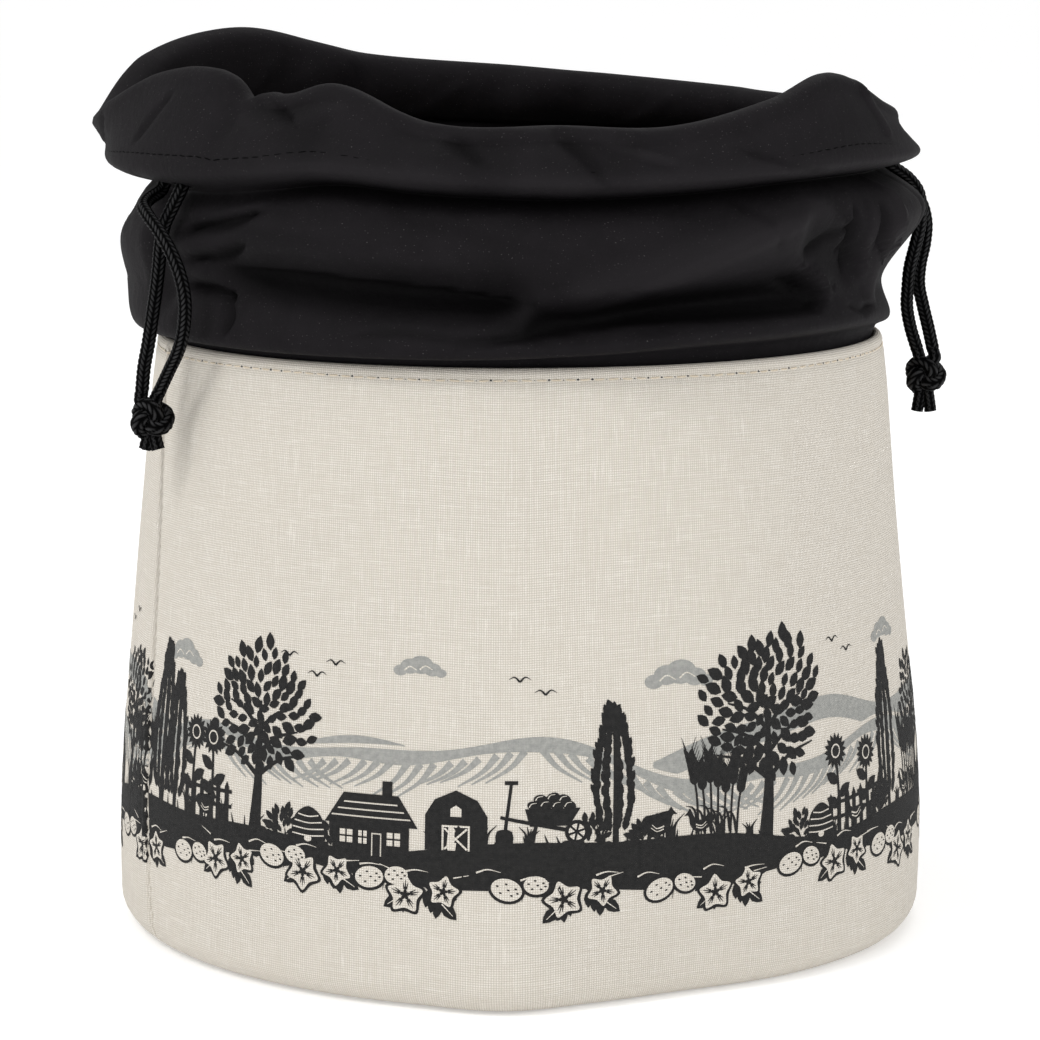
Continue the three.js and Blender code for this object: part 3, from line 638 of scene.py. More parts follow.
CANVAS_PAINTED_GAP_SHADE = (0.43, 0.395, 0.335, 1)
CANVAS_THREAD = (0.79, 0.75, 0.69, 1)
CANVAS_DARK_THREAD = (0.52, 0.475, 0.405, 1)
CANVAS_SLUB = (0.80, 0.77, 0.71, 1)
CANVAS_CLOUD = (0.62, 0.575, 0.5, 1)
CANVAS_FLECK = (0.32, 0.25, 0.17, 1)


def canvas_material():
    """Cream canvas: uneven woven threads with shade painted between them, slubs, faint clouds and brown
    flecks.
    """
    shader = Shader("canvas")
    uv, height = weave(shader, THREAD_PITCH)
    long_weft = shader.noise(shader.stretched(uv, (0.12, 1.7, 1.0)), 1.0, 3.0, 0.6)
    long_warp = shader.noise(shader.stretched(uv, (1.7, 0.12, 1.0)), 1.0, 3.0, 0.6)
    cloud = shader.noise(uv, 0.05, 3.0, 0.55)
    slub = shader.spread(shader.math("MAXIMUM", long_weft, long_warp), 0.6, 0.76)
    # Painted shade between the threads, with the threads' tops lighter
    tone = shader.mix(shader.spread(height, 0.05, 0.9), CANVAS_PAINTED_GAP_SHADE, CANVAS_THREAD)
    thread = shader.math("MULTIPLY", shader.math("ADD", long_weft, long_warp), 0.5)
    tone = shader.mix(shader.spread(thread, 0.62, 0.36, 0.0, 0.55), tone, CANVAS_DARK_THREAD)
    tone = shader.mix(shader.math("MULTIPLY", slub, 0.45), tone, CANVAS_SLUB)
    tone = shader.mix(shader.spread(cloud, 0.35, 0.7, 0.0, 0.2), tone, CANVAS_CLOUD)
    fleck_noise = shader.noise(shader.stretched(uv, (1.1, 1.5, 1.0)), 1.0, 1.0, 0.5)
    fleck = shader.spread(fleck_noise, 0.79, 0.83)
    tone = shader.mix(shader.math("MULTIPLY", fleck, 0.5), tone, CANVAS_FLECK)
    relief = shader.math("ADD", height, shader.math("MULTIPLY", slub, 0.5))
    normal = shader.bump(relief, 0.00016, 0.75)
    shader.set(Base_Color=tone, Roughness=0.93, Normal=normal, Specular_IOR_Level=0.25)
    return shader.material


CLOTH_DARK = (0.0062, 0.0054, 0.0063, 1)
CLOTH_LIGHT = (0.0100, 0.0088, 0.0101, 1)
# Painted shade for the cloth's valleys and painted highlight for its ridges
CLOTH_PAINTED_SHADE = (0.0018, 0.0015, 0.0018, 1)
CLOTH_PAINTED_HIGHLIGHT = (0.0140, 0.0125, 0.0140, 1)
LINT = (0.22, 0.21, 0.21, 1)


def black_cloth_material():
    """Matt black cloth with specks of lint, with shade painted darker into its valleys and highlight painted
    lighter onto its ridges.
    """
    shader = Shader("black_cloth")
    uv, height = weave(shader, FINE_PITCH)
    soft = shader.noise(uv, 0.09, 4.0, 0.6)
    crumple = shader.noise(uv, 0.35, 3.0, 0.55)
    tone = shader.mix(shader.spread(soft, 0.3, 0.7), CLOTH_DARK, CLOTH_LIGHT)
    lint_noise = shader.noise(shader.stretched(uv, (1.0, 1.4, 1.0)), 2.6, 0.0, 0.5)
    lint = shader.spread(lint_noise, 0.79, 0.83)
    tone = shader.mix(shader.math("MULTIPLY", lint, 0.3), tone, LINT)
    # Painted shade darkens the valleys and painted highlight lightens the ridges, by how far the cloth is
    # pushed in
    painted_fold_shading = shader.node("ShaderNodeAttribute", attribute_name="painted_fold_shading").outputs["Fac"]
    tone = shader.mix(shader.spread(painted_fold_shading, 0.0, 0.9), tone, CLOTH_PAINTED_SHADE)
    tone = shader.mix(shader.spread(painted_fold_shading, 0.0, -0.4), tone, CLOTH_PAINTED_HIGHLIGHT)
    first = shader.bump(crumple, 0.0010, 0.25)
    normal = shader.bump(height, 0.00006, 0.4, first)
    roughness = shader.spread(soft, 0.3, 0.7, 0.66, 0.78)
    shader.set(Base_Color=tone, Roughness=roughness, Normal=normal, Specular_IOR_Level=0.07)
    return shader.material


CORD_DARK = (0.007, 0.007, 0.008, 1)
CORD_LIGHT = (0.022, 0.022, 0.023, 1)
CORD_PAINTED_SHADE = (0.0005, 0.0005, 0.0006, 1)


def cord_material():
    """Black cord, whose strands shine a little and whose valleys are dull, with shade painted dark into the
    valleys.
    """
    shader = Shader("black_cord")
    coordinates = shader.node("ShaderNodeTexCoord").outputs["Object"]
    fibre = shader.noise(coordinates, 5200.0, 3.0, 0.6)
    rise = shader.node("ShaderNodeAttribute", attribute_name="rise").outputs["Fac"]
    tone = shader.mix(shader.spread(fibre, 0.35, 0.7), CORD_DARK, CORD_LIGHT)
    # Painted shade in the braid's valleys between the strands
    tone = shader.mix(shader.spread(rise, 0.55, 0.9), CORD_PAINTED_SHADE, tone)
    roughness = shader.spread(fibre, 0.3, 0.7, 0.5, 0.66)
    gloss = shader.spread(rise, 0.5, 0.95, 0.02, 0.24)
    normal = shader.bump(fibre, 0.00008, 0.5)
    shader.set(Base_Color=tone, Roughness=roughness, Normal=normal, Specular_IOR_Level=gloss)
    return shader.material


def give(thing, material):
    """A piece's material, and the body that it rides on."""
    thing.data.materials.clear()
    thing.data.materials.append(material)
    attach(thing, "root")


canvas = canvas_material()
black_cloth = black_cloth_material()
black_cord = cord_material()


# Camera

camera_data = bpy.data.cameras.new("camera")
camera_data.sensor_width = SENSOR
camera_data.lens = FOCAL_PIXELS * SENSOR / PHOTO_WIDTH
camera_data.clip_start = 0.01
camera_data.clip_end = 200.0
camera = bpy.data.objects.new("camera", camera_data)
camera.location = (0.0, -CAMERA_DISTANCE, CAMERA_HEIGHT)
camera.rotation_euler = (math.radians(90 - CAMERA_PITCH), 0.0, 0.0)
bpy.context.scene.collection.objects.link(camera)
bpy.context.scene.camera = camera


# Cords and knots

# The knot's looped turns in mm, and how far apart its cut tails stand, as shares of the cord's radius
TURN_DIAMETER = CORD_DIAMETER + 0.7
TURN_INSET = 1.2
TURN_WEAVE = 1.3
TURN_RISE = 2.1
KNOT_INLET = 2.5
TAIL_SPREAD = 1.02
WAIST_SPREAD = 0.6
LEFT_TAIL_LENGTH = 0.55 * TAIL_LENGTH


def knot_piece(name, routes, tail):
    """An overhand knot in two cord ends, with their cut tails."""
    ends = [np.array(route[-1], float) for route in routes]
    before = [np.array(route[-2], float) for route in routes]
    middle = (ends[0] + ends[1]) / 2
    centre = middle - np.array([0, 0, CORD_END_GAP + CORD_DIAMETER / 2 + KNOT_HEIGHT / 2])
    turn = np.linspace(0, 2 * np.pi, 25)[:-1]
    wide = (KNOT_WIDTH - CORD_DIAMETER) / 2 - TURN_INSET + TURN_WEAVE * np.cos(3 * turn)
    x = wide * np.cos(2 * turn)
    y = wide * np.sin(2 * turn)
    z = TURN_RISE * np.sin(3 * turn)
    loop = np.stack([x, z, y * (KNOT_HEIGHT / KNOT_WIDTH)], axis=1) + centre
    closed = np.concatenate([loop, loop[:2]])
    parts = [braid_tube(name + "_turns", closed, diameter=TURN_DIAMETER, spacing=0.16)[0]]
    for i in (0, 1):
        along = (ends[i] - before[i]) / np.linalg.norm(ends[i] - before[i])
        top = ends[i] + along * CORD_END_GAP * 0.2
        way = [top, top + along * KNOT_INLET, (centre + top) / 2, centre]
        parts.append(braid_tube(f"{name}_in_{i}", way, sides=24)[0])
        side = ends[i] - centre
        side[2] = 0
        side = side / max(np.linalg.norm(side), 1e-6) * CORD_DIAMETER / 2
        low = centre + side * TAIL_SPREAD - np.array([0, 0, KNOT_HEIGHT / 2 + tail])
        waist = centre + side * WAIST_SPREAD - np.array([0, 0, KNOT_HEIGHT / 2])
        parts.append(braid_tube(f"{name}_tail_{i}", [centre, waist, low], sides=24, spacing=0.25)[0])
    return joined(name, parts)


knots = {}
for side, tail in (("left", LEFT_TAIL_LENGTH), ("right", TAIL_LENGTH)):
    pair = [ROUTES[f"cord_{side}_front"], ROUTES[f"cord_{side}_back"]]
    knots[side] = knot_piece(f"{side}_knot", pair, tail)
for side, knot in knots.items():
    give(knot, black_cord)
    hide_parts(f"knot_{side}")

for node, route in ROUTES.items():
    side = node.split("_")[1]
    name = node.replace("cord", "braid")
    strand, path, length = braid_tube(name, route)
    give(strand, black_cord)
    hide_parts(node)
    [x * MM for x in route[0]]


def exit_hole(azimuth):
    """Where a cord comes out between crease and lip, and its direction."""
    steps = (CREASE_STEP, (CREASE_STEP + LIP_STEP) / 2, LIP_STEP)
    crease, middle, lip = (outer_leg(azimuth, step)[0, 0] for step in steps)
    slope = (lip - crease) / np.linalg.norm(lip - crease)
    point = polar(azimuth, middle[0] - fold_push(azimuth, middle[1]), middle[1])
    return point, polar(azimuth, slope[1], -slope[0])


def tunnel_point(azimuth, height):
    """A point in the hem's tunnel, halfway between its outer and inner sides."""
    leg = outer_leg(azimuth, np.linspace(LIP_STEP, LEG_CONTROLS - 1, 17))[0]
    order = np.argsort(leg[:, 1])
    radius = np.interp(height, leg[order, 1], leg[order, 0]) - HEM_SPACING / 2
    return polar(azimuth, radius - fold_push(azimuth, height), height)


TURN_IN_SHARES = (0.35, 0.6, 0.8)
TUNNEL_POINTS = 150


def way_in(azimuth, sign):
    """A cord's way from its hole in the hem up into the tunnel, turning off to one side."""
    point, axis = exit_hole(azimuth)
    inside = point - axis * CORD_DIAMETER
    points = [point - axis * CORD_END_GAP, inside]
    for share in TURN_IN_SHARES:
        angle = share * math.pi / 2
        place = azimuth + sign * TURN_IN * (1 - math.cos(angle))
        top = hem_centre(place)[1] - CORD_SAG
        points.append(tunnel_point(place, inside[2] + (top - inside[2]) * math.sin(angle)))
    return points


def hidden_cord(start, end):
    """The middle line of the drawstring inside the hem, from one hole to another."""
    sign = 1 if end > start else -1
    first, last = start + sign * TURN_IN, end - sign * TURN_IN
    count = round(TUNNEL_POINTS * abs(last - first) / 360)
    points = way_in(start, sign)
    for i in range(count + 1):
        azimuth = first + (last - first) * i / count
        points.append(tunnel_point(azimuth, hem_centre(azimuth)[1] - CORD_SAG - notch(azimuth)))
    return points + way_in(end, -sign)[::-1]


for name, start, end in (("front", LEFT_FRONT_EXIT, RIGHT_FRONT_EXIT),
                         ("back", LEFT_BACK_EXIT, RIGHT_BACK_EXIT - 360)):
    route = hidden_cord(start, end)
    hidden = braid_tube(f"hem_cord_{name}", route, CORD_DIAMETER - 0.2, sides=16, spacing=0.7, relief=0.15)[0]
    give(hidden, black_cord)
    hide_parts(f"drawcord_{name}")


# Black cloth collar

COLLAR_COLUMNS = 380
FRONT_CROWDING = 0.4
LEG_ROWS = 100
HIDDEN_ROWS = 6
HIDDEN_STEPS = 1.6
HOLE_RADIUS = 2.2
TOP_ROWS = 9
INNER_ROWS = 12
CLOTH_GIRTH = 2 * math.pi * (RIM_RADIUS + 3)

# The crease under the band: its depth, its half widths above and below, and the swelling just above it
PINCH_DEPTH = 3.9
PINCH_ABOVE = 1.3
PINCH_BELOW = 2.6
SWELL_DEPTH = 1.5
SWELL_RISE = 3.4
SWELL_WIDTH = 2.2
HEM_PINCH_SHARE = 0.3

# Fine creases start above the strip at the rim
CREASES_FROM = 150.5
CREASES_FADE = 3.0

# A valley this deep gets the darkest painted shade, and an open hem's inner side bends at this share of its
# drop
DARKEST_DEPTH = 3.6
BEND_SHARE = 0.6


def collar_surface():
    """The collar's middle surface by column: azimuths, points, lengths along the cloth, and the valley depths
    that set its painted shade and highlight.
    """
    even = -180 + 360 * np.arange(COLLAR_COLUMNS) / COLLAR_COLUMNS
    dense = np.linspace(-180, 180, 3601)
    crowded = dense + FRONT_CROWDING * np.degrees(np.sin(np.radians(dense)))
    azimuth = np.interp(even, crowded, dense)
    hidden = np.linspace(0, HIDDEN_STEPS, HIDDEN_ROWS, endpoint=False)
    steps = np.concatenate([hidden, np.linspace(HIDDEN_STEPS, LEG_CONTROLS - 1, LEG_ROWS - HIDDEN_ROWS)])
    leg = outer_leg(azimuth, steps, fine=True)
    hem_radius, hem_z = hem_centre(azimuth)
    hem_z = hem_z - notch(azimuth)
    turn = np.pi * np.arange(1, TOP_ROWS + 1) / (TOP_ROWS + 1)
    top = np.stack([hem_radius[:, None] + HEM_SPACING / 2 * np.cos(turn),
                    hem_z[:, None] + HEM_SPACING / 2 * np.sin(turn)], axis=-1)
    start = np.stack([hem_radius - HEM_SPACING / 2, hem_z], axis=-1)
    stitch = outer_leg(azimuth, STITCH_STEP)[:, 0]
    shut = stitch - np.array([COLLAR_THICKNESS + 2 * LAYER_GAP, 0])
    drop = np.minimum(HEM_DEPTH, np.maximum(start[:, 1] - stitch[:, 1], HEM_DEPTH / 3))
    open_end = np.stack([start[:, 0], start[:, 1] - drop], axis=-1)
    end = shut + (open_end - shut) * hem_opening(azimuth)[:, None]
    bend = np.stack([start[:, 0], start[:, 1] + BEND_SHARE * (end[:, 1] - start[:, 1])], axis=-1)
    t = np.linspace(0, 1, INNER_ROWS)[None, :, None]
    inner = start[:, None] * (1 - t) ** 2 + 2 * bend[:, None] * t * (1 - t) + end[:, None] * t * t
    line = np.concatenate([leg, top, inner], axis=1)
    turned = azimuth[:, None]
    push = fold_push(turned, line[..., 1])
    fine = crease_push(turned, line[..., 1]) * np.clip((line[..., 1] - CREASES_FROM) / CREASES_FADE, 0, 1)
    above = line[..., 1] - collar_height(round_curve(COLLAR_SECTIONS, 5, azimuth))[:, None]
    in_leg = np.arange(line.shape[1])[None, :] < len(steps)
    pinch = PINCH_DEPTH * ridge(above, np.where(above > 0, PINCH_ABOVE, PINCH_BELOW))
    pinch = pinch - SWELL_DEPTH * ridge(above - SWELL_RISE, SWELL_WIDTH)
    shallow = 1 - hem_opening(azimuth)[:, None] * (1 - HEM_PINCH_SHARE)
    pinch = np.where(in_leg, pinch * shallow, 0)
    radius = line[..., 0] - push - fine - pinch
    # Painted shade in the valleys and painted highlight on the ridges, from how far the cloth is pushed in
    painted_fold_shading = np.clip((fine + 0.55 * push + 0.9 * pinch) / DARKEST_DEPTH, -0.5, 1.0) * in_leg
    points = polar(turned, radius, line[..., 1])
    run = np.concatenate([np.zeros((len(azimuth), 1)),
                          np.cumsum(np.linalg.norm(np.diff(points, axis=1), axis=2), axis=1)], axis=1)
    return azimuth, points, run, painted_fold_shading


azimuth, surface, run, painted_fold_shading = collar_surface()
rows = surface.shape[1]
cells = np.array(grid_faces(COLLAR_COLUMNS, rows))
centres = surface.reshape(-1, 3)[cells].mean(axis=1)
for exit_azimuth in EXITS:
    away = np.linalg.norm(centres - exit_hole(exit_azimuth)[0], axis=1)
    kept = (away > HOLE_RADIUS) | (cells.max(axis=1) % rows >= LEG_ROWS)
    cells, centres = cells[kept], centres[kept]
collar = add_mesh("collar_cloth", surface.reshape(-1, 3), cells.tolist())
add_values(collar, "painted_fold_shading", painted_fold_shading)
u = np.repeat((azimuth + 180) / 360 * CLOTH_GIRTH, rows)
add_uv(collar, u, run.ravel(), CLOTH_GIRTH)
thicken = collar.modifiers.new("thickness", "SOLIDIFY")
thicken.thickness = COLLAR_THICKNESS * MM
thicken.offset = 0.0
thicken.use_even_offset = False
give(collar, black_cloth)
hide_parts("collar")


# Canvas drum

DRUM_COLUMNS = 360
SEAM_COLUMNS = 60
SEAM_BAND = (-5.4, 5.2)
SEAM_PULL = 22
SIDE_ROWS = 128
SIDE_REACH = (8, 143)
RIM_ROW_HEIGHTS = [143.9, 144.7, 145.4, 146.3]
ARC_STEPS = 8


def drum_loop():
    """The drum's section: foot, outer side, rounded rim and inner side, as radii and heights."""
    rounding = EDGE_ROUNDING
    fold_edge = BASE_RADIUS - rounding - BASE_FOLD_WIDTH
    outer = [(fold_edge, 0.0), (fold_edge + BASE_FOLD_WIDTH / 2, 0.0)]
    for i in range(ARC_STEPS + 1):
        angle = i / ARC_STEPS * math.pi / 2
        outer.append((BASE_RADIUS - rounding * (1 - math.sin(angle)), rounding * (1 - math.cos(angle))))
    heights = np.concatenate([np.linspace(*SIDE_REACH, SIDE_ROWS), RIM_ROW_HEIGHTS])
    outer += [(float(drum_radius(z)), float(z)) for z in heights]
    outer = np.array(outer)
    step = np.gradient(outer, axis=0)
    step /= np.linalg.norm(step, axis=1)[:, None]
    inner = outer + np.stack([-step[:, 1], step[:, 0]], axis=1) * WALL_THICKNESS
    top, half = outer[-1], WALL_THICKNESS / 2
    crown = [(top[0] - half + half * math.cos(a), top[1] + (DRUM_HEIGHT - top[1]) * math.sin(a))
             for a in np.linspace(0, math.pi, ARC_STEPS + 1)[1:-1]]
    coarse = sorted({0, 1, *range(2, 12, 2), *range(12, len(inner), 6), len(inner) - 1})
    return np.concatenate([outer, crown, inner[coarse][::-1]]), len(outer)


# The side seam's azimuths at the rim and the floor, its stitch length, and the height of the top stitches
SEAM_TOP = -70.0
SEAM_FOOT = -62.0
SEAM_PITCH = 3.2
STITCH_HEIGHT = 145.2


def seam_azimuth(height):
    return SEAM_TOP + (SEAM_FOOT - SEAM_TOP) * np.clip(1 - height / DRUM_HEIGHT, 0, 1)


def seam_offset(azimuth, height):
    """Distance along the wall from the seam, positive towards the front."""
    return np.radians(azimuth - seam_azimuth(height)) * drum_radius(height)


# Ridges and grooves, in mm: place across the seam or above the stitches, half width, height, pucker
SEAM_RIDGES = [
    (0.0, 0.75, -1.15, 0.0), (-1.9, 1.1, 0.42, 0.1), (1.5, 0.9, 0.16, 0.12), (-4.4, 1.0, -0.2, 0.0),
]
STITCH_RIDGES = [(0.0, 0.55, -0.3, 0.0), (1.6, 0.8, 0.14, 0.0), (-1.8, 1.2, 0.1, 0.0)]
SEAM_WANDER = 0.22


def wall_relief(azimuth, height):
    """How far the wall stands out: the puckered seam, the dent of the top stitches and faint waves."""
    pucker = np.sin(2 * np.pi * height / SEAM_PITCH)

    def ridges(away, rows):
        return sum((rise + puckered * pucker) * ridge(away - at, width) for at, width, rise, puckered in rows)

    groove = ridges(seam_offset(azimuth, height) + SEAM_WANDER * pucker, SEAM_RIDGES)
    seam = groove * np.clip(height / 5, 0, 1) * np.clip((DRUM_HEIGHT + 1 - height) / 3, 0, 1)
    stitch = ridges(height - STITCH_HEIGHT, STITCH_RIDGES)
    turn = np.radians(azimuth)
    wave = 0.3 * np.sin(turn * 5 + 0.9) * np.sin(height / 23 + 0.5) + 0.2 * np.sin(turn * 9 + height / 31)
    return seam + stitch + wave * np.clip(height / 30, 0, 1) * np.clip((DRUM_HEIGHT - height) / 20, 0, 1)


def drum_mesh():
    """The drum's azimuths and points, with columns packed closer at the seam and following it."""
    loop, outer_count = drum_loop()
    middle = (SEAM_TOP + SEAM_FOOT) / 2
    even = np.linspace(-180, 180, DRUM_COLUMNS - SEAM_COLUMNS, endpoint=False)
    across = np.sort(np.concatenate([even, middle + np.linspace(*SEAM_BAND, SEAM_COLUMNS)]))
    pull = ridge(across - middle, SEAM_PULL)
    radius, height = loop[:, 0], loop[:, 1]
    azimuth = across[:, None] + pull[:, None] * (seam_azimuth(height) - middle)[None, :]
    outside = (np.arange(len(loop)) < outer_count) & (height > 0.5)
    grown = radius[None, :] * footprint_share(azimuth, height[None, :])
    grown = grown + np.where(outside[None, :], wall_relief(azimuth, height[None, :]), 0)
    return azimuth, polar(azimuth, grown, height[None, :]), len(across), len(loop)


azimuth, points, count, rows = drum_mesh()
drum = add_mesh("canvas_drum", points.reshape(-1, 3), grid_faces(count, rows, round_rows=True))
DRUM_GIRTH = 2 * THREAD_PITCH * round(math.pi * (BASE_RADIUS + RIM_RADIUS) / (2 * THREAD_PITCH))
steps = np.linalg.norm(np.diff(points, axis=1), axis=2)
length = np.concatenate([np.zeros((count, 1)), np.cumsum(steps, axis=1)], axis=1)
add_uv(drum, ((azimuth + 180) / 360 * DRUM_GIRTH).ravel(), length.ravel(), DRUM_GIRTH)
give(drum, canvas)
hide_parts("canvas_wall")


def drum_outside(azimuth, height, out=0.0):
    """Points on the wall's outer side, or out from it by a number of millimetres."""
    radius = drum_radius(height) * footprint_share(azimuth, height) + wall_relief(azimuth, height) + out
    return polar(azimuth, radius, height)


def outer_run_by_height():
    """Heights on the drum's outer side with the lengths along its cloth, as its UV map has them."""
    loop, outer_count = drum_loop()
    run = np.concatenate([[0], np.cumsum(np.linalg.norm(np.diff(loop[:outer_count], axis=0), axis=1))])
    return np.stack([loop[2:outer_count, 1], run[2:]], axis=1)


BASE_CUT_RADIUS = BASE_RADIUS - EDGE_ROUNDING - BASE_FOLD_WIDTH - LAYER_GAP
BASE_COLUMNS = 120


def base_mesh():
    """The flat base: rings from the middle to the edge on both faces."""
    flat = (0.02, 0.25, 0.5, 0.75, 0.94)
    ring = [(share, 0.0) for share in flat] + [(0.99, 0.25), (1, 0.8)]
    ring += [(1, BASE_THICKNESS - 0.6), (0.99, BASE_THICKNESS - 0.1)]
    ring += [(share, BASE_THICKNESS) for share in reversed(flat)]
    around = -180 + 360 * np.arange(BASE_COLUMNS) / BASE_COLUMNS
    share, height = np.array(ring, float).T
    radius = BASE_CUT_RADIUS * share[None, :] * footprint_share(around[:, None], 0.0)
    points = polar(around[:, None], radius, height[None, :]).reshape(-1, 3)
    faces = grid_faces(BASE_COLUMNS, len(ring))
    faces.append(tuple(c * len(ring) for c in range(BASE_COLUMNS)))
    faces.append(tuple(c * len(ring) + len(ring) - 1 for c in reversed(range(BASE_COLUMNS))))
    return points, faces


points, faces = base_mesh()
base = add_mesh("canvas_floor", points, faces)
add_uv(base, points[:, 0], points[:, 1])
give(base, canvas)
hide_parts("canvas_base")


# Printed country scene

# Flat drawing coordinates: x is millimetres round the drum from the front, y the height above the floor
PRINT_RADIUS = 100.0
PRINT_LENGTH = 2 * math.pi * PRINT_RADIUS
GROUND_STEPS = 420
GREY, BARE_ON_GREY, BLACK, BARE_ON_BLACK, LINES, BARE_ON_LINES = range(6)
GOLDEN_ANGLE = 2.39996
GOLDEN_SHARE = 0.618034

# Shapes wider than this are cut into strips, and those near the seam are cut finely and cleared from it
WIDE_SHAPE = 6.0
STRIP_WIDTH = 4.0
STRIP_REACH = 316
SEAM_MARGIN = 12
SEAM_GAP = 0.7
SEAM_CUTS = (-6, -5.2, -4.4, -3.7, -3, -2.3, -1.7, -1.2, -0.7, 0.7, 1.2, 1.7, 2.3, 3)
TINY = 1e-5

# How far the ink films stand out from the wall, more for each layer and a little for each shape in turn
FILM_LIFT = 0.05
LAYER_LIFT = 0.03
SHAPE_LIFT = 0.0025
SHAPE_LIFTS = 9

shapes = []
chance = random.Random(7)


def spaced(count, jitter=lambda: 0.0):
    """Places round the whole print, each moved on by a share of the space between them."""
    for k in range(count):
        yield -PRINT_LENGTH / 2 + (k + jitter()) * PRINT_LENGTH / count


def draw(layer, points):
    shapes.append((layer, [(float(x), float(y)) for x, y in points]))


def blob(points, fineness=4):
    """A smooth closed outline through points."""
    control = np.array(points, float)
    padded = np.concatenate([control[-2:], control, control[:3]])
    steps = 2 + np.arange(len(control) * fineness) / fineness
    return catmull(padded, steps)


def rotated(across, up, turn):
    """A point or points turned about the middle."""
    c, s = math.cos(turn), math.sin(turn)
    return across * c - up * s, across * s + up * c


def ellipse(x, y, wide, high, turn=0.0, sides=18):
    angle = 2 * np.pi * np.arange(sides) / sides
    across, up = rotated(wide * np.cos(angle), high * np.sin(angle), turn)
    return np.stack([x + across, y + up], axis=1)


def leaf(x, y, length, width, turn):
    """A pointed leaf from its stalk at x, y."""
    upper = [(0.22, 0.36), (0.5, 0.5), (0.78, 0.32)]
    outline = [(0, 0), *upper, (1, 0), *((a, -b) for a, b in reversed(upper))]
    corners = (rotated(length * a, width * b, turn) for a, b in outline)
    return [(x + across, y + up) for across, up in corners]


def stroke(layer, points, start, end, fineness=4):
    """A line whose width runs from start to end."""
    control = np.array(points, float)
    path = control
    if len(control) > 2:
        path = catmull(control, np.linspace(0, len(control) - 1, fineness * len(control)))
    along = np.gradient(path, axis=0)
    along /= np.maximum(np.linalg.norm(along, axis=1), 1e-9)[:, None]
    half = np.linspace(start, end, len(path))[:, None] / 2
    side = np.stack([-along[:, 1], along[:, 0]], axis=1) * half
    left, right = path + side, path - side
    for i in range(len(path) - 1):
        draw(layer, [left[i], left[i + 1], right[i + 1], right[i]])


def placed(outline, x, y, size, mirror=1):
    """A drawing given as shares of its size, put in its place."""
    return [(x + mirror * size * a, y + size * b) for a, b in outline]


def box(layer, left, low, right, top, *place):
    draw(layer, placed([(left, low), (right, low), (right, top), (left, top)], *place))


def leafy_tree(x, y, height, width):
    trunk = [(x - 0.6, y - 1), (x + 0.3, y + 0.3 * height), (x, y + 0.7 * height)]
    stroke(BLACK, trunk, 0.085 * height, 0.02 * height)
    for side in (-1, 1):
        root = [(x + side * 3.4, y - 1.2), (x + side * 0.8, y + 0.8), (x + side * 0.4, y + 4)]
        stroke(BLACK, root, 1.0, 1.6)
    for side in (-1, 1):
        for share in (0.3, 0.42, 0.54):
            reach = side * width * (0.52 - 0.4 * share)
            low = y + share * height
            branch = [(x, low), (x + reach * 0.5, low + 0.1 * height), (x + reach, low + 0.14 * height)]
            stroke(BLACK, branch, 1.3, 0.4)
    count = int(2.1 * height)
    for i in range(count):
        share = math.sqrt((i + 0.5) / count)
        angle = i * GOLDEN_ANGLE
        wobble = 1 + 0.1 * math.sin(3 * angle + x)
        cx = x + share * wobble * width / 2 * math.cos(angle)
        cy = y + 0.66 * height + share * wobble * 0.34 * height * math.sin(angle)
        turn = math.atan2(math.sin(angle) + 0.45, math.cos(angle)) + chance.uniform(-0.5, 0.5)
        size = chance.uniform(3.3, 4.9) * height / 48
        back, down = 0.5 * size * math.cos(turn), 0.5 * size * math.sin(turn)
        draw(BLACK, leaf(cx - back, cy - down, size, 0.62 * size, turn))


def poplar(x, y, height, width):
    stroke(BLACK, [(x, y - 1), (x + 0.2, y + 0.5 * height), (x, y + height)], 1.6, 0.4)
    rows = int(height / 1.25)
    for i in range(rows):
        share = (i + 0.5) / rows
        spread = width / 2 * math.sin(math.pi * min(1, 0.12 + 0.88 * share) ** 0.8) ** 0.8
        for k in (-1, -0.45, 0.2, 0.85):
            turn = math.pi / 2 - k * 0.5 + chance.uniform(-0.2, 0.2)
            size = chance.uniform(2.6, 3.8)
            draw(BLACK, leaf(x + k * spread, y + 3 + share * (height - 5), size, 0.55 * size, turn))


def bush(x, y, width, height, count):
    for i in range(count):
        share = math.sqrt((i + 0.5) / count)
        angle = math.pi * ((i * GOLDEN_SHARE) % 1)
        cx, cy = x + share * width / 2 * math.cos(angle), y + share * height * math.sin(angle)
        size = chance.uniform(2.2, 3.4)
        draw(BLACK, leaf(cx, cy - 1, size, 0.5 * size, angle + chance.uniform(-0.4, 0.4)))


def grass(x, y, count, height):
    for i in range(count):
        lean = (i - (count - 1) / 2) / count
        tall = height * chance.uniform(0.7, 1.05)
        stroke(BLACK, [(x + 1.3 * lean * count / 4, y), (x + lean * height * 0.5, y + 0.6 * tall),
                       (x + lean * height * 1.3, y + tall)], 0.85, 0.12, 3)


def wheat(x, y, height, lean):
    top = (x + lean, y + height)
    stroke(BLACK, [(x, y), (x + 0.25 * lean, y + 0.55 * height), top], 0.6, 0.5)
    for i in range(7):
        share = 0.62 + 0.055 * i
        cx, cy = x + lean * share ** 2, y + height * share
        for side in (-1, 1):
            turn = math.pi / 2 - side * 0.5 - 0.03 * lean
            draw(BLACK, leaf(cx, cy, 2.5, 1.05, turn))
            stroke(BLACK, [(cx + side * 0.7, cy + 1.8), (cx + side * 1.9, cy + 4.8)], 0.22, 0.1)
    stroke(BLACK, [(x, y + 1), (x - 1.4, y + 0.34 * height), (x - 3.4, y + 0.38 * height)], 0.9, 0.1)


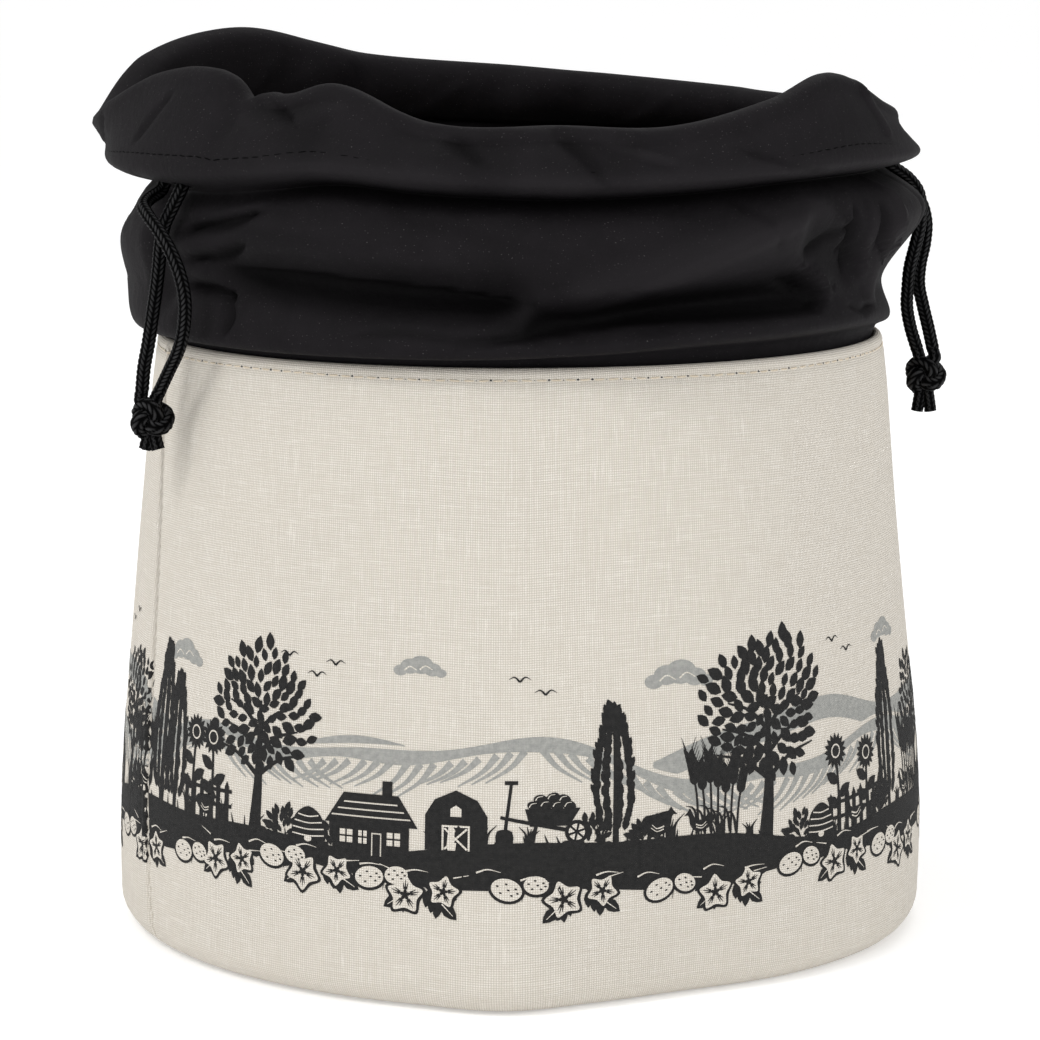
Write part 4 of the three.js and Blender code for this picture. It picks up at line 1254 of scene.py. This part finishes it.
def fence(start, end, ground):
    for rail in (3.0, 6.6):
        for x in np.arange(start, end, 1.5):
            draw(BLACK, [(x, ground(x) + rail), (x + 1.5, ground(x + 1.5) + rail),
                         (x + 1.5, ground(x + 1.5) + rail + 0.9), (x, ground(x) + rail + 0.9)])
    for x in np.arange(start, end, 3.1):
        y = ground(x) - 0.5
        draw(BLACK, [(x, y), (x + 1.5, y), (x + 1.5, y + 8.6), (x + 0.75, y + 10), (x, y + 8.6)])


def farmhouse(x, y, size):
    place = (x, y, size)
    box(BLACK, -1, 0, 1, 0.8, *place)
    draw(BLACK, placed([(-1.22, 0.74), (1.22, 0.74), (0.72, 1.5), (-0.72, 1.5)], *place))
    box(BLACK, 0.3, 1.4, 0.56, 1.84, *place)
    for row in range(3):
        low = 0.92 + 0.17 * row
        top = low + 0.035
        edge = 1.04 - 0.165 * row
        tiles = [(-edge, low), (edge, low), (edge - 0.02, top), (-edge + 0.02, top)]
        draw(BARE_ON_BLACK, placed(tiles, *place))
    low, top, half_bar = 0.28, 0.6, 0.02
    for left, right in ((-0.8, -0.46), (0.44, 0.78), (-0.3, -0.08)):
        across, up = (left + right) / 2, (low + top) / 2
        box(BARE_ON_BLACK, left, low, right, top, *place)
        box(LINES, across - half_bar, low, across + half_bar, top, *place)
        box(LINES, left, up - half_bar, right, up + half_bar, *place)
    box(BARE_ON_BLACK, 0.04, 0, 0.3, 0.56, *place)
    box(LINES, 0.07, 0, 0.27, 0.53, *place)


def barn(x, y, size):
    place = (x, y, size)
    roof = [(0.8, 0.9), (0.55, 1.3), (0, 1.55), (-0.55, 1.3), (-0.8, 0.9)]
    draw(BLACK, placed([(-0.8, 0), (0.8, 0), *roof], *place))
    box(BARE_ON_BLACK, -0.36, 0.02, 0.36, 0.66, *place)
    box(LINES, -0.31, 0.02, 0.31, 0.61, *place)
    for side in (-1, 1):
        bar = placed([(side * 0.29, 0.05), (-side * 0.29, 0.58)], *place)
        stroke(BARE_ON_LINES, bar, 0.05 * size, 0.05 * size)
    draw(BARE_ON_BLACK, placed([(-0.14, 0.88), (0.14, 0.88), (0.14, 1.08), (0, 1.17), (-0.14, 1.08)], *place))


HEN = [
    (-0.55, 0.8), (-0.66, 0.62), (-0.52, 0.4), (-0.34, 0.24), (-0.08, 0.16), (0.16, 0.2), (0.34, 0.38),
    (0.4, 0.56), (0.43, 0.74), (0.49, 0.81), (0.62, 0.8), (0.53, 0.89), (0.46, 0.97), (0.4, 1.07),
    (0.33, 0.99), (0.27, 0.86), (0.16, 0.68), (-0.04, 0.6), (-0.24, 0.66), (-0.4, 0.83),
]
GOOSE = [
    (-0.66, 0.52), (-0.5, 0.36), (-0.24, 0.22), (0.08, 0.2), (0.28, 0.34), (0.34, 0.52), (0.34, 0.74),
    (0.37, 0.96), (0.45, 1.04), (0.62, 1.0), (0.53, 1.09), (0.42, 1.17), (0.3, 1.14), (0.23, 1.0),
    (0.22, 0.8), (0.16, 0.6), (-0.06, 0.56), (-0.34, 0.58),
]


def bird_on_ground(outline, *place):
    """A hen or a goose. place is x, y, size and mirror."""
    size = place[2]
    draw(BLACK, blob(placed(outline, *place), 3))
    for foot in (-0.1, 0.12):
        stroke(BLACK, placed([(foot, 0.25), (foot, 0.0)], *place), 0.07 * size, 0.05 * size)
        stroke(BLACK, placed([(foot - 0.06, 0.0), (foot + 0.14, 0.0)], *place), 0.05 * size, 0.04 * size)
    upper_wing = placed([(-0.3, 0.52), (-0.12, 0.38), (0.14, 0.44)], *place)
    stroke(BARE_ON_BLACK, upper_wing, 0.02 * size, 0.05 * size)
    lower_wing = placed([(-0.34, 0.42), (-0.12, 0.28), (0.12, 0.34)], *place)
    stroke(BARE_ON_BLACK, lower_wing, 0.02 * size, 0.04 * size)


def flying_bird(x, y, size):
    for side in (-1, 1):
        stroke(BLACK, [(x, y), (x + side * 0.5 * size, y + 0.42 * size), (x + side * size, y + 0.2 * size)],
               0.2 * size, 0.03 * size)


def wheelbarrow(x, y, size):
    draw(BLACK, placed([(-0.5, 0.44), (0.44, 0.44), (0.72, 0.86), (-0.62, 0.86)], x, y, size))
    stroke(BLACK, placed([(0.56, 0.3), (-0.4, 0.5), (-1.2, 0.66)], x, y, size), 0.1 * size, 0.08 * size)
    stroke(BLACK, placed([(-0.36, 0.46), (-0.44, 0.02)], x, y, size), 0.09 * size, 0.08 * size)
    wheel_x, wheel_y = x + 0.62 * size, y + 0.28 * size
    draw(BLACK, ellipse(wheel_x, wheel_y, 0.29 * size, 0.29 * size))
    draw(BARE_ON_BLACK, ellipse(wheel_x, wheel_y, 0.2 * size, 0.2 * size))
    for turn in (0.3, 1.35, 2.4):
        c, s = 0.22 * size * math.cos(turn), 0.22 * size * math.sin(turn)
        stroke(LINES, [(wheel_x - c, wheel_y - s), (wheel_x + c, wheel_y + s)], 0.5, 0.5)
    lower_load = [(-0.4, 0.92), (-0.12, 0.95), (0.17, 0.93), (0.45, 0.92)]
    upper_load = [(-0.25, 1.08), (0.05, 1.12), (0.33, 1.07)]
    for k, (px, py) in enumerate(lower_load + upper_load):
        draw(BLACK, ellipse(x + px * size, y + py * size, 0.17 * size, 0.12 * size, 0.4 * (k % 3 - 1), 14))
        shine = placed([(px - 0.12, py - 0.02), (px - 0.06, py + 0.06), (px + 0.06, py + 0.08)], x, y, size)
        stroke(BARE_ON_BLACK, shine, 0.25, 0.1)


def spade(x, y, size, lean):
    stroke(BLACK, [(x, y), (x + lean, y + size)], 0.8, 0.7)
    stroke(BLACK, [(x + lean - 1.5, y + size), (x + lean + 1.5, y + size)], 0.9, 0.9)
    blade = [(-1.7, 1.5), (1.7, 1.5), (1.5, -3), (0, -4.6), (-1.5, -3)]
    draw(BLACK, blob(placed(blade, x, y, 1), 3))


def beehive(x, y, size):
    outline = [(-0.55, 0), (0.55, 0), (0.58, 0.4), (0.42, 0.82), (0, 1.06), (-0.42, 0.82), (-0.58, 0.4)]
    draw(BLACK, blob(placed(outline, x, y, size)))
    for z, half in ((0.2, 0.56), (0.4, 0.55), (0.6, 0.48), (0.8, 0.36)):
        stroke(BARE_ON_BLACK, placed([(-half, z), (0, z - 0.05), (half, z)], x, y, size), 0.3, 0.3)
    draw(BARE_ON_BLACK, ellipse(x, y + 0.07 * size, 0.13 * size, 0.1 * size))
    stroke(BLACK, placed([(-0.7, -0.02), (0.7, -0.02)], x, y, size), 0.9, 0.9)


def sunflower(x, y, height, lean):
    cx, cy = x + lean, y + height
    stroke(BLACK, [(x, y), (x + 0.2 * lean, y + 0.5 * height), (cx, cy)], 0.9, 0.8)
    for side, share in ((-1, 0.3), (1, 0.42), (-1, 0.6)):
        draw(BLACK, leaf(x + 0.3 * lean * share, y + share * height, 5.4, 2.9, math.pi / 2 - side * 1.0))
    for k in range(16):
        draw(BLACK, leaf(cx, cy, 4.4, 1.5, 2 * math.pi * k / 16))
    draw(BARE_ON_BLACK, ellipse(cx, cy, 1.75, 1.75))
    draw(LINES, ellipse(cx, cy, 1.35, 1.35))


def blossom(x, y, radius, turn):
    """A potato flower: five broad petals with veins, and a small star in the middle."""
    def star(size, inner):
        angles = turn + np.arange(10) * math.pi / 5
        rim = [size * (1.0 if k % 2 == 0 else inner) for k in range(10)]
        return blob([(x + r * math.cos(a), y + r * math.sin(a)) for r, a in zip(rim, angles)], 4)

    draw(BLACK, star(radius + 0.75, 0.74))
    draw(BARE_ON_BLACK, star(radius, 0.68))
    for k in range(5):
        for off, end in ((-0.2, 0.66), (0, 0.78), (0.2, 0.66)):
            vein = turn + 2 * math.pi * k / 5 + off
            c, s = radius * math.cos(vein), radius * math.sin(vein)
            stroke(LINES, [(x + 0.3 * c, y + 0.3 * s), (x + end * c, y + end * s)], 0.42, 0.12)
    for k in range(5):
        draw(LINES, leaf(x, y, 0.34 * radius, 0.2 * radius, turn + 2 * math.pi * k / 5))


def compound_leaf(x, y, length, turn):
    c, s = math.cos(turn), math.sin(turn)
    stroke(BLACK, [(x, y), (x + length * c, y + length * s)], 0.7, 0.4)
    for share in (0.3, 0.55, 0.8):
        for side in (-1, 1):
            draw(BLACK, leaf(x + share * length * c, y + share * length * s, 4.3, 2.3, turn + side * 0.95))
    draw(BLACK, leaf(x + 0.9 * length * c, y + 0.9 * length * s, 5.2, 3.0, turn))
    near, far = 0.95 * length, 0.9 * length + 4
    stroke(BARE_ON_BLACK, [(x + near * c, y + near * s), (x + far * c, y + far * s)], 0.3, 0.12)


POTATO_EYES = [
    (-0.62, 0.1), (-0.3, -0.42), (-0.12, 0.5), (0.12, 0.02), (0.42, -0.38), (0.55, 0.3), (0.74, -0.05),
]


def potato(x, y, wide, high, turn):
    draw(BLACK, ellipse(x, y, wide + 0.7, high + 0.7, turn, 22))
    draw(BARE_ON_BLACK, ellipse(x, y, wide, high, turn, 22))
    for px, py in POTATO_EYES:
        across, up = rotated(px * wide, py * high, turn)
        draw(LINES, ellipse(x + across, y + up, 0.34, 0.2, turn, 8))


def waves(x, *terms):
    """A sum of waves that closes on itself round the drum: (count, size, shift) each."""
    return sum(size * math.sin(count * x / PRINT_RADIUS + shift) for count, size, shift in terms)


def ground_top(x):
    return 37.5 + waves(x, (2, 1.8, 1.9), (5, 1.7, 0.4), (11, 0.8, 2.2))


def ground_foot(x):
    return 28.5 + waves(x, (2, 2.0, 2.1), (4, 1.6, 4.0), (9, 1.1, 0.7))


def hill_top(x):
    return 58 + waves(x, (3, 4.5, 2.4), (7, 3.0, 1.2), (13, 1.2, 0.3))


def far_hill_top(x):
    return 62 + waves(x, (2, 3.5, 5.2), (6, 4.0, 3.6), (15, 0.8, 1.4))


def hills():
    """Two rows of grey hills, the nearer with furrows down its slopes."""
    for x in spaced(GROUND_STEPS):
        end = x + PRINT_LENGTH / GROUND_STEPS

        def span(top, deep):
            draw(GREY, [(x, top(x) - deep(x)), (end, top(end) - deep(end)), (end, top(end)), (x, top(x))])

        if far_hill_top(x) > hill_top(x) + 1.2:
            span(far_hill_top, lambda v: min(5.5, max(0.3, far_hill_top(v) - hill_top(v) - 1.0)))
        span(hill_top, lambda v: 2.0 + 1.5 * math.sin(9 * v / PRINT_RADIUS + 1) ** 2)
    for x in spaced(60, lambda: 0.5):
        slope = hill_top(x + 6) - hill_top(x - 6)
        lean = -9 if slope > 0 else 9
        deep = chance.uniform(5, 9)
        for step in (0, 3.2, 6.4):
            top_x, top_y = x + step, hill_top(x + step) - 3
            furrow = [(0, 0), (lean * 0.35, -0.5 * deep), (lean, -deep)]
            stroke(GREY, placed(furrow, top_x, top_y, 1), 1.7, 0.3)


def cloud(x, y, size):
    puffs = ((-1.3, 0.0, 0.5), (-0.6, 0.3, 0.7), (0.2, 0.42, 0.85), (1.0, 0.12, 0.62), (1.6, -0.1, 0.4))
    for px, py, r in puffs:
        draw(GREY, ellipse(x + px * size, y + py * size, r * size, 0.72 * r * size, 0, 20))
    for px, py in ((-0.5, 0.12), (0.6, 0.2)):
        curl = [(px - 0.5, py - 0.1), (px - 0.1, py + 0.16), (px + 0.4, py - 0.08)]
        stroke(BARE_ON_GREY, placed(curl, x, y, size), 0.4, 0.2)


def ground():
    """The black ground, with short blades along its top and bare lines in it."""
    for x in spaced(GROUND_STEPS):
        end = x + PRINT_LENGTH / GROUND_STEPS
        foot = [(x, ground_foot(x)), (end, ground_foot(end))]
        draw(BLACK, foot + [(end, ground_top(end)), (x, ground_top(x))])
    for x in spaced(170, chance.random):
        tip = (x + chance.uniform(-0.9, 0.9), ground_top(x) + chance.uniform(1.0, 2.6))
        stroke(BLACK, [(x, ground_top(x) - 0.6), tip], 0.7, 0.1)
    for x in spaced(46, lambda: 0.3 * chance.random()):
        z = ground_foot(x) + chance.uniform(2.2, 4.5)
        furrow = [(x, z), (x + 2.5, z + chance.uniform(0.2, 0.9)), (x + 5.5, z + 0.2)]
        stroke(BARE_ON_BLACK, furrow, 0.45, 0.1)


# Where things stand round the drum. Clouds: x, y, size
CLOUDS = [
    (-96, 75, 4.2), (-24, 79, 3.4), (38, 76, 4.6), (112, 78, 3.8), (186, 77, 4.2), (258, 79, 3.6),
    (-170, 78, 3.8), (-240, 76, 4.4),
]

# x, height, width
TREES = [
    (-126, 36, 27), (-66, 44, 32), (62, 49, 36), (134, 35, 27), (206, 45, 33), (282, 37, 28),
    (-212, 43, 32), (-272, 36, 27),
]

# x, height
POPLARS = [
    (-104, 40), (-97, 34), (22, 33), (110, 41), (166, 37), (173, 31), (244, 39), (-160, 40), (-250, 35),
]

# start, end
FENCES = [(-92, -74), (82, 104), (146, 160), (252, 272), (-240, -222), (-182, -168)]

# x, size, mirror
HENS = [(33, 7.0, 1), (43, 6.2, -1), (-83, 6.5, 1), (120, 6.6, -1), (262, 7.0, 1), (-228, 6.6, -1)]
GEESE = [(92, 8.5, -1), (-112, 8.0, 1), (236, 8.4, -1), (-174, 8.0, 1)]

# x, width, height
BUSHES = [
    (-58, 9, 6), (-44.5, 7, 5), (16, 8, 6), (29, 6, 4), (72, 9, 6), (104, 8, 6), (-120, 9, 6),
    (140, 8, 5), (180, 8, 6), (218, 8, 6), (276, 9, 6), (-148, 8, 6), (-206, 9, 6), (-280, 8, 6),
]

# x, y
FLYING_BIRDS = [
    (-50, 76), (-45, 79), (-58, 80), (86, 80), (92, 77), (160, 81), (166, 78), (-132, 80), (-138, 77),
    (240, 80), (-200, 80), (6, 74), (0, 77),
]


def country_scene():
    """The whole frieze round the drum."""
    hills()
    for place in CLOUDS:
        cloud(*place)
    ground()
    for x, height, width in TREES:
        leafy_tree(x, ground_top(x) - 1, height, width)
    for x, height in POPLARS:
        poplar(x, ground_top(x) - 1, height, 7.5)
    for x, size in ((-35, 9.5), (188, 9.0), (-188, 9.5)):
        farmhouse(x, ground_top(x) - 1, size)
    for x, size in ((-14.5, 9.0), (225, 9.5), (-142, 9.0)):
        barn(x, ground_top(x) - 1, size)
    for start, end in FENCES:
        fence(start, end, ground_top)
    for outline, birds in ((HEN, HENS), (GOOSE, GEESE)):
        for x, size, mirror in birds:
            bird_on_ground(outline, x, ground_top(x) - 0.3, size, mirror)
    for x, size in ((7, 9.5), (152, 9.0), (-258, 9.5)):
        wheelbarrow(x, ground_top(x) - 0.4, size)
    for x in (-3, 141, -268):
        spade(x - 0.5, ground_top(x) + 1.2, 12.5, 1.6)
    for x in (78, -52, 214, -200):
        beehive(x + 1, ground_top(x) - 0.2, 7.6)
    for x in (-89, -81, 86, 98, 150, 256, 266, -236, -178):
        sunflower(x, ground_top(x), chance.uniform(15, 20), chance.uniform(-1.5, 1.5))
    for middle in (-116, 48, 126, 196, 296, -152, -286):
        for k in range(7):
            x = middle + 1.7 * (k - 3)
            wheat(x, ground_top(x) - 0.5, chance.uniform(15, 20), 0.9 * (k - 3))
    for x, width, height in BUSHES:
        bush(x, ground_top(x), width, height, 26)
    for x in spaced(46, lambda: chance.uniform(0.1, 0.7)):
        grass(x, ground_top(x) - 0.5, chance.choice((4, 5, 6)), chance.uniform(4, 7.5))
    for x in (-75, -48, -22, 14, 52, 88, 118, 156, 194, 232, 270, 305, -110, -146, -184, -222, -262, -298):
        y = ground_foot(x) + 0.5
        for turn in (-2.5, -0.65, 2.9, 0.2):
            compound_leaf(x, y + 0.5, chance.uniform(6.5, 8.5), turn + chance.uniform(-0.15, 0.15))
        blossom(x - 4.2, y - 2.6, 4.4, chance.uniform(0, 1.2))
        blossom(x + 4.8, y - 1.2, 3.7, chance.uniform(0, 1.2))
    for x in (-92, -61, -35, -3, 33, 69, 103, 138, 176, 214, 251, 288, -128, -166, -204, -242, -281):
        z = ground_foot(x)
        potato(x, z + 0.2, 3.5, 2.5, chance.uniform(-0.4, 0.4))
        potato(x + 6.6, z + 1.1, 2.8, 2.1, chance.uniform(-0.4, 0.4))
        stroke(BLACK, [(x + 2, z + 4), (x + 3.6, z + 1), (x + 3.4, z - 2.5)], 0.6, 0.1)
    for x, y in FLYING_BIRDS:
        flying_bird(x, y, 2.6)


def add_shape(work, lift, outline, raised):
    """Adds one flat outline as faces, raised by a number of millimetres."""
    corners = [Vector((x, y, 0)) for x, y in outline]
    made = [work.verts.new(corner) for corner in corners]
    middle = sum(corners, Vector()) / len(corners)
    if len(made) <= 4:
        work.faces.new(made)
    elif is_star_shaped(outline, middle):
        hub = work.verts.new(middle)
        hub[lift] = raised
        for i, vert in enumerate(made):
            work.faces.new((vert, made[(i + 1) % len(made)], hub))
    else:
        bmesh.ops.triangulate(work, faces=[work.faces.new(made)])
    for vert in made:
        vert[lift] = raised


def cut_shapes(work, seam_x, across):
    """Cuts wide shapes into narrow strips, and clears the seam."""
    cuts = [((x, 0, 0), (1, 0, 0)) for x in np.arange(-STRIP_REACH, STRIP_REACH + 1, STRIP_WIDTH)]
    cuts += [((seam_x + offset, 0, 0), tuple(across)) for offset in SEAM_CUTS]
    for place, direction in cuts:
        near = [f for f in work.faces if crosses(f, Vector(place), Vector(direction))]
        if near:
            edges = {e for f in near for e in f.edges}
            verts = {v for f in near for v in f.verts}
            parts = [*verts, *edges, *near]
            bmesh.ops.bisect_plane(work, geom=parts, plane_co=place, plane_no=direction, dist=TINY)
    gone = []
    for face in work.faces:
        away = (face.calc_center_median() - Vector((seam_x, 0, 0))).dot(across)
        if abs(away) < SEAM_GAP:
            gone.append(face)
    bmesh.ops.delete(work, geom=gone, context="FACES")


def crosses(face, place, direction):
    sides = [(vert.co - place).dot(direction) for vert in face.verts]
    return min(sides) < -TINY and max(sides) > TINY


def print_meshes():
    """The flat drawing as thin ink films that follow the drum, one mesh for each layer."""
    country_scene()
    seam_x = math.radians(SEAM_FOOT) * PRINT_RADIUS
    seam_run = math.radians(SEAM_TOP - SEAM_FOOT) / DRUM_HEIGHT * PRINT_RADIUS
    across = Vector((1, -seam_run, 0)).normalized()
    wall_line = outer_run_by_height()
    films = {}
    for layer in sorted({layer for layer, _ in shapes}):
        work = bmesh.new()
        lift = work.verts.layers.float.new("lift")
        outlines = [outline for each, outline in shapes if each == layer]
        wide, narrow = [], []
        for index, outline in enumerate(outlines):
            low, high = min(x for x, _ in outline), max(x for x, _ in outline)
            cut = high - low > WIDE_SHAPE or low - SEAM_MARGIN < seam_x < high + SEAM_MARGIN
            raised = FILM_LIFT + LAYER_LIFT * layer + SHAPE_LIFT * (index % SHAPE_LIFTS)
            (wide if cut else narrow).append((outline, raised))
        for outline, raised in wide:
            add_shape(work, lift, outline, raised)
        cut_shapes(work, seam_x, across)
        for outline, raised in narrow:
            add_shape(work, lift, outline, raised)
        flat = np.array([vert.co[:] for vert in work.verts])
        raised = np.array([vert[lift] for vert in work.verts])
        azimuth = np.degrees(flat[:, 0] / PRINT_RADIUS)
        height = flat[:, 1]
        work.verts.index_update()
        faces = [tuple(vert.index for vert in face.verts) for face in work.faces]
        work.free()
        film = add_mesh(f"print_{layer}", drum_outside(azimuth, height, raised), faces)
        order = np.interp(height, wall_line[:, 0], wall_line[:, 1])
        add_uv(film, (azimuth + 180) / 360 * DRUM_GIRTH, order, DRUM_GIRTH)
        films[layer] = film
    return films


def is_star_shaped(outline, middle):
    """True if every corner is seen from the middle in turn, the same way round."""
    signs = []
    for i in range(len(outline)):
        (ax, ay), (bx, by) = outline[i], outline[(i + 1) % len(outline)]
        signs.append((ax - middle.x) * (by - middle.y) - (ay - middle.y) * (bx - middle.x))
    return min(signs) > 0 or max(signs) < 0


def ink_material(name, colour, worn):
    """Printed ink that wears thin in patches and between the threads of the canvas."""
    shader = Shader(name)
    uv, height = weave(shader, THREAD_PITCH)
    patch = shader.noise(uv, 0.8, 3.0, 0.6)
    tone = shader.mix(shader.spread(patch, 0.35, 0.75), colour, worn)
    tone = shader.mix(shader.spread(height, 0.5, 0.0, 0.0, 0.3), tone, worn)
    normal = shader.bump(height, 0.00014, 0.6)
    shader.set(Base_Color=tone, Roughness=0.85, Normal=normal, Specular_IOR_Level=0.25)
    return shader.material


black_ink = ink_material("black_ink", (0.0095, 0.0095, 0.0095, 1), (0.02, 0.0195, 0.019, 1))
grey_ink = ink_material("grey_ink", (0.255, 0.258, 0.245, 1), (0.36, 0.358, 0.335, 1))
for layer, film in print_meshes().items():
    if layer in (BARE_ON_GREY, BARE_ON_BLACK, BARE_ON_LINES):
        give(film, canvas)
    else:
        give(film, grey_ink if layer == GREY else black_ink)


# Stitches

# Along each thread, from end to end: place, height and thickness
THREAD_PLACES = np.array([0.0, 0.12, 0.3, 0.5, 0.7, 0.88, 1.0])
THREAD_LIFTS = np.array([-1.6, 0.1, 0.9, 1.0, 0.9, 0.1, -1.6])
THREAD_SIZES = np.array([0.7, 0.95, 1.0, 1.05, 1.0, 0.95, 0.7])
THREAD_SIDES = 6


def stitch_row(name, path, outward, share, thickness, stand):
    """Short threads along a closed path, one between each pair of its points, dipping in at both ends."""
    vertices, faces = [], []
    lift = stand * THREAD_LIFTS
    size = thickness / 2 * THREAD_SIZES
    ring = 2 * np.pi * np.arange(THREAD_SIDES) / THREAD_SIDES
    for i in range(len(path)):
        a, b = path[i], path[(i + 1) % len(path)]
        gap = (1 - share) / 2
        out = (outward[i] + outward[(i + 1) % len(path)]) / 2
        along = (b - a) / np.linalg.norm(b - a)
        side = np.cross(along, out)
        lean = side * chance.uniform(-0.12, 0.12)
        for place, up, radius in zip(THREAD_PLACES, lift, size):
            centre = a + (b - a) * (gap + share * place) + out * up + lean * (2 * place - 1)
            for turn in ring:
                vertices.append(centre + radius * (math.cos(turn) * side + math.sin(turn) * out))
        start = len(vertices) - THREAD_SIDES * len(THREAD_PLACES)
        for low in range(start, len(vertices) - THREAD_SIDES, THREAD_SIDES):
            high = low + THREAD_SIDES
            for j in range(THREAD_SIDES):
                after = (j + 1) % THREAD_SIDES
                faces.append((low + j, low + after, high + after, high + j))
    return add_mesh(name, np.array(vertices), faces)


def thread_material(name, colour, light):
    shader = Shader(name)
    coordinates = shader.node("ShaderNodeTexCoord").outputs["Object"]
    strand = shader.noise(coordinates, 3500.0, 2.0, 0.6)
    tone = shader.mix(shader.spread(strand, 0.3, 0.7), colour, light)
    shader.set(Base_Color=tone, Roughness=0.7, Normal=shader.bump(strand, 0.00005, 0.4))
    return shader.material


RIM_STITCHES = 172
HEM_STITCHES = 206
cream_thread = thread_material("cream_thread", (0.52, 0.44, 0.33, 1), (0.7, 0.62, 0.5, 1))
# Near-black for the painted shade in the needle holes
painted_hole_shade = thread_material("painted_hole_shade", (0.012, 0.010, 0.010, 1), (0.03, 0.026, 0.024, 1))
around = -180 + 360 * np.arange(RIM_STITCHES) / RIM_STITCHES
rim_line = drum_outside(around, STITCH_HEIGHT + 0.12 * np.sin(np.radians(around) * 7))
rim_stitches = stitch_row("rim_stitches", rim_line, polar(around, 1.0, 0.0), 0.8, 0.42, 0.16)
give(rim_stitches, cream_thread)


def painted_needle_hole_shade():
    """Small dark dots where the needle went in, painted as the shade in the holes."""
    vertices, faces = [], []
    for i, middle in enumerate(rim_line):
        size = chance.choice((0.13, 0.16, 0.2, 0.3, 0.38))
        out = polar(around[i], 1.0, 0.0)
        side = np.array([-out[1], out[0], 0.0])
        start = len(vertices)
        for ring, up in ((1.0, -0.1), (0.75, 0.1)):
            for k in range(8):
                turn = 2 * math.pi * k / 8
                across = math.cos(turn) * side + math.sin(turn) * np.array([0, 0, 1.15])
                vertices.append(middle + out * up + size * ring * across)
        faces += [(start + k, start + (k + 1) % 8, start + 8 + (k + 1) % 8, start + 8 + k) for k in range(8)]
        faces.append(tuple(start + 8 + k for k in range(8)))
    return add_mesh("painted_needle_hole_shade", np.array(vertices), faces)


give(painted_needle_hole_shade(), painted_hole_shade)


def hem_stitch_line(count):
    """Points and outward directions along the stitches that close the hem, on the band's outer side."""
    around = -180 + 360 * np.arange(count) / count
    line = outer_leg(around, [STITCH_STEP - 0.05, STITCH_STEP, STITCH_STEP + 0.05], fine=True)
    middle = line[:, 1]
    slope = line[:, 2] - line[:, 0]
    slope /= np.linalg.norm(slope, axis=1)[:, None]
    out = polar(around, slope[:, 1], -slope[:, 0])
    push = fold_push(around, middle[:, 1]) + crease_push(around, middle[:, 1])
    return polar(around, middle[:, 0] - push, middle[:, 1]) + out * (COLLAR_THICKNESS / 2 - 0.02), out


hem_line, hem_out = hem_stitch_line(HEM_STITCHES)
give(stitch_row("hem_stitches", hem_line, hem_out, 0.78, 0.26, 0.05), black_cord)


# Floor, light and surroundings

WHITE = (1.0, 1.0, 1.0, 1)
FLOOR_TONE = (0.84, 0.84, 0.84, 1)
FLOOR_REACH = 60000
FLOOR_DROP = 0.1
FLOOR_GLOW = 0.27
floor_material = Shader("floor")
floor_material.set(Base_Color=FLOOR_TONE, Roughness=0.8, Emission_Color=WHITE, Emission_Strength=FLOOR_GLOW)
corners = [(x * FLOOR_REACH, y * FLOOR_REACH, -FLOOR_DROP) for x, y in ((-1, -1), (1, -1), (1, 1), (-1, 1))]
floor = add_mesh("floor", corners, [(0, 1, 2, 3)], smooth=False)
floor.data.materials.append(floor_material.material)

# A white sky, brighter towards one side: that direction, and the dot products and strengths it runs between
SKY_DIRECTION = (-0.5, -0.42, 0.76)
SKY_RANGE = (-0.35, 1.0, 0.5, 1.07)
bpy.context.scene.view_settings.view_transform = "Standard"
world = bpy.data.worlds.new("studio")
bpy.context.scene.world = world
world.use_nodes = True
sky = world.node_tree
background = sky.nodes["Background"]
background.inputs[0].default_value = WHITE
direction = sky.nodes.new("ShaderNodeTexCoord")
toward = sky.nodes.new("ShaderNodeVectorMath")
toward.operation = "DOT_PRODUCT"
toward.inputs[1].default_value = SKY_DIRECTION
shade = sky.nodes.new("ShaderNodeMapRange")
shade.interpolation_type = "SMOOTHSTEP"
for socket, value in zip(list(shade.inputs)[1:5], SKY_RANGE):
    socket.default_value = value
sky.links.new(direction.outputs["Generated"], toward.inputs[0])
sky.links.new(toward.outputs["Value"], shade.inputs[0])
sky.links.new(shade.outputs[0], background.inputs[1])


# name, place, point that it is aimed at, size in metres, watts
LIGHTS = [
    ("key", (-0.7, -0.75, 1.2), (0, 0, 0.13), 0.45, 5.7),
    ("fill", (1.1, -0.75, 0.75), (0, 0, 0.13), 0.6, 4.3),
    ("back", (0.4, 1.0, 1.1), (0, 0, 0.18), 0.7, 3.2),
]


def soft_light(name, place, aim, size, power):
    """A round area light."""
    data = bpy.data.lights.new(name, "AREA")
    data.shape = "DISK"
    data.size = size
    data.energy = power
    light = bpy.data.objects.new(name, data)
    light.location = place
    light.rotation_euler = (Vector(aim) - Vector(place)).to_track_quat("-Z", "Y").to_euler()
    bpy.context.scene.collection.objects.link(light)


for light_settings in LIGHTS:
    soft_light(*light_settings)
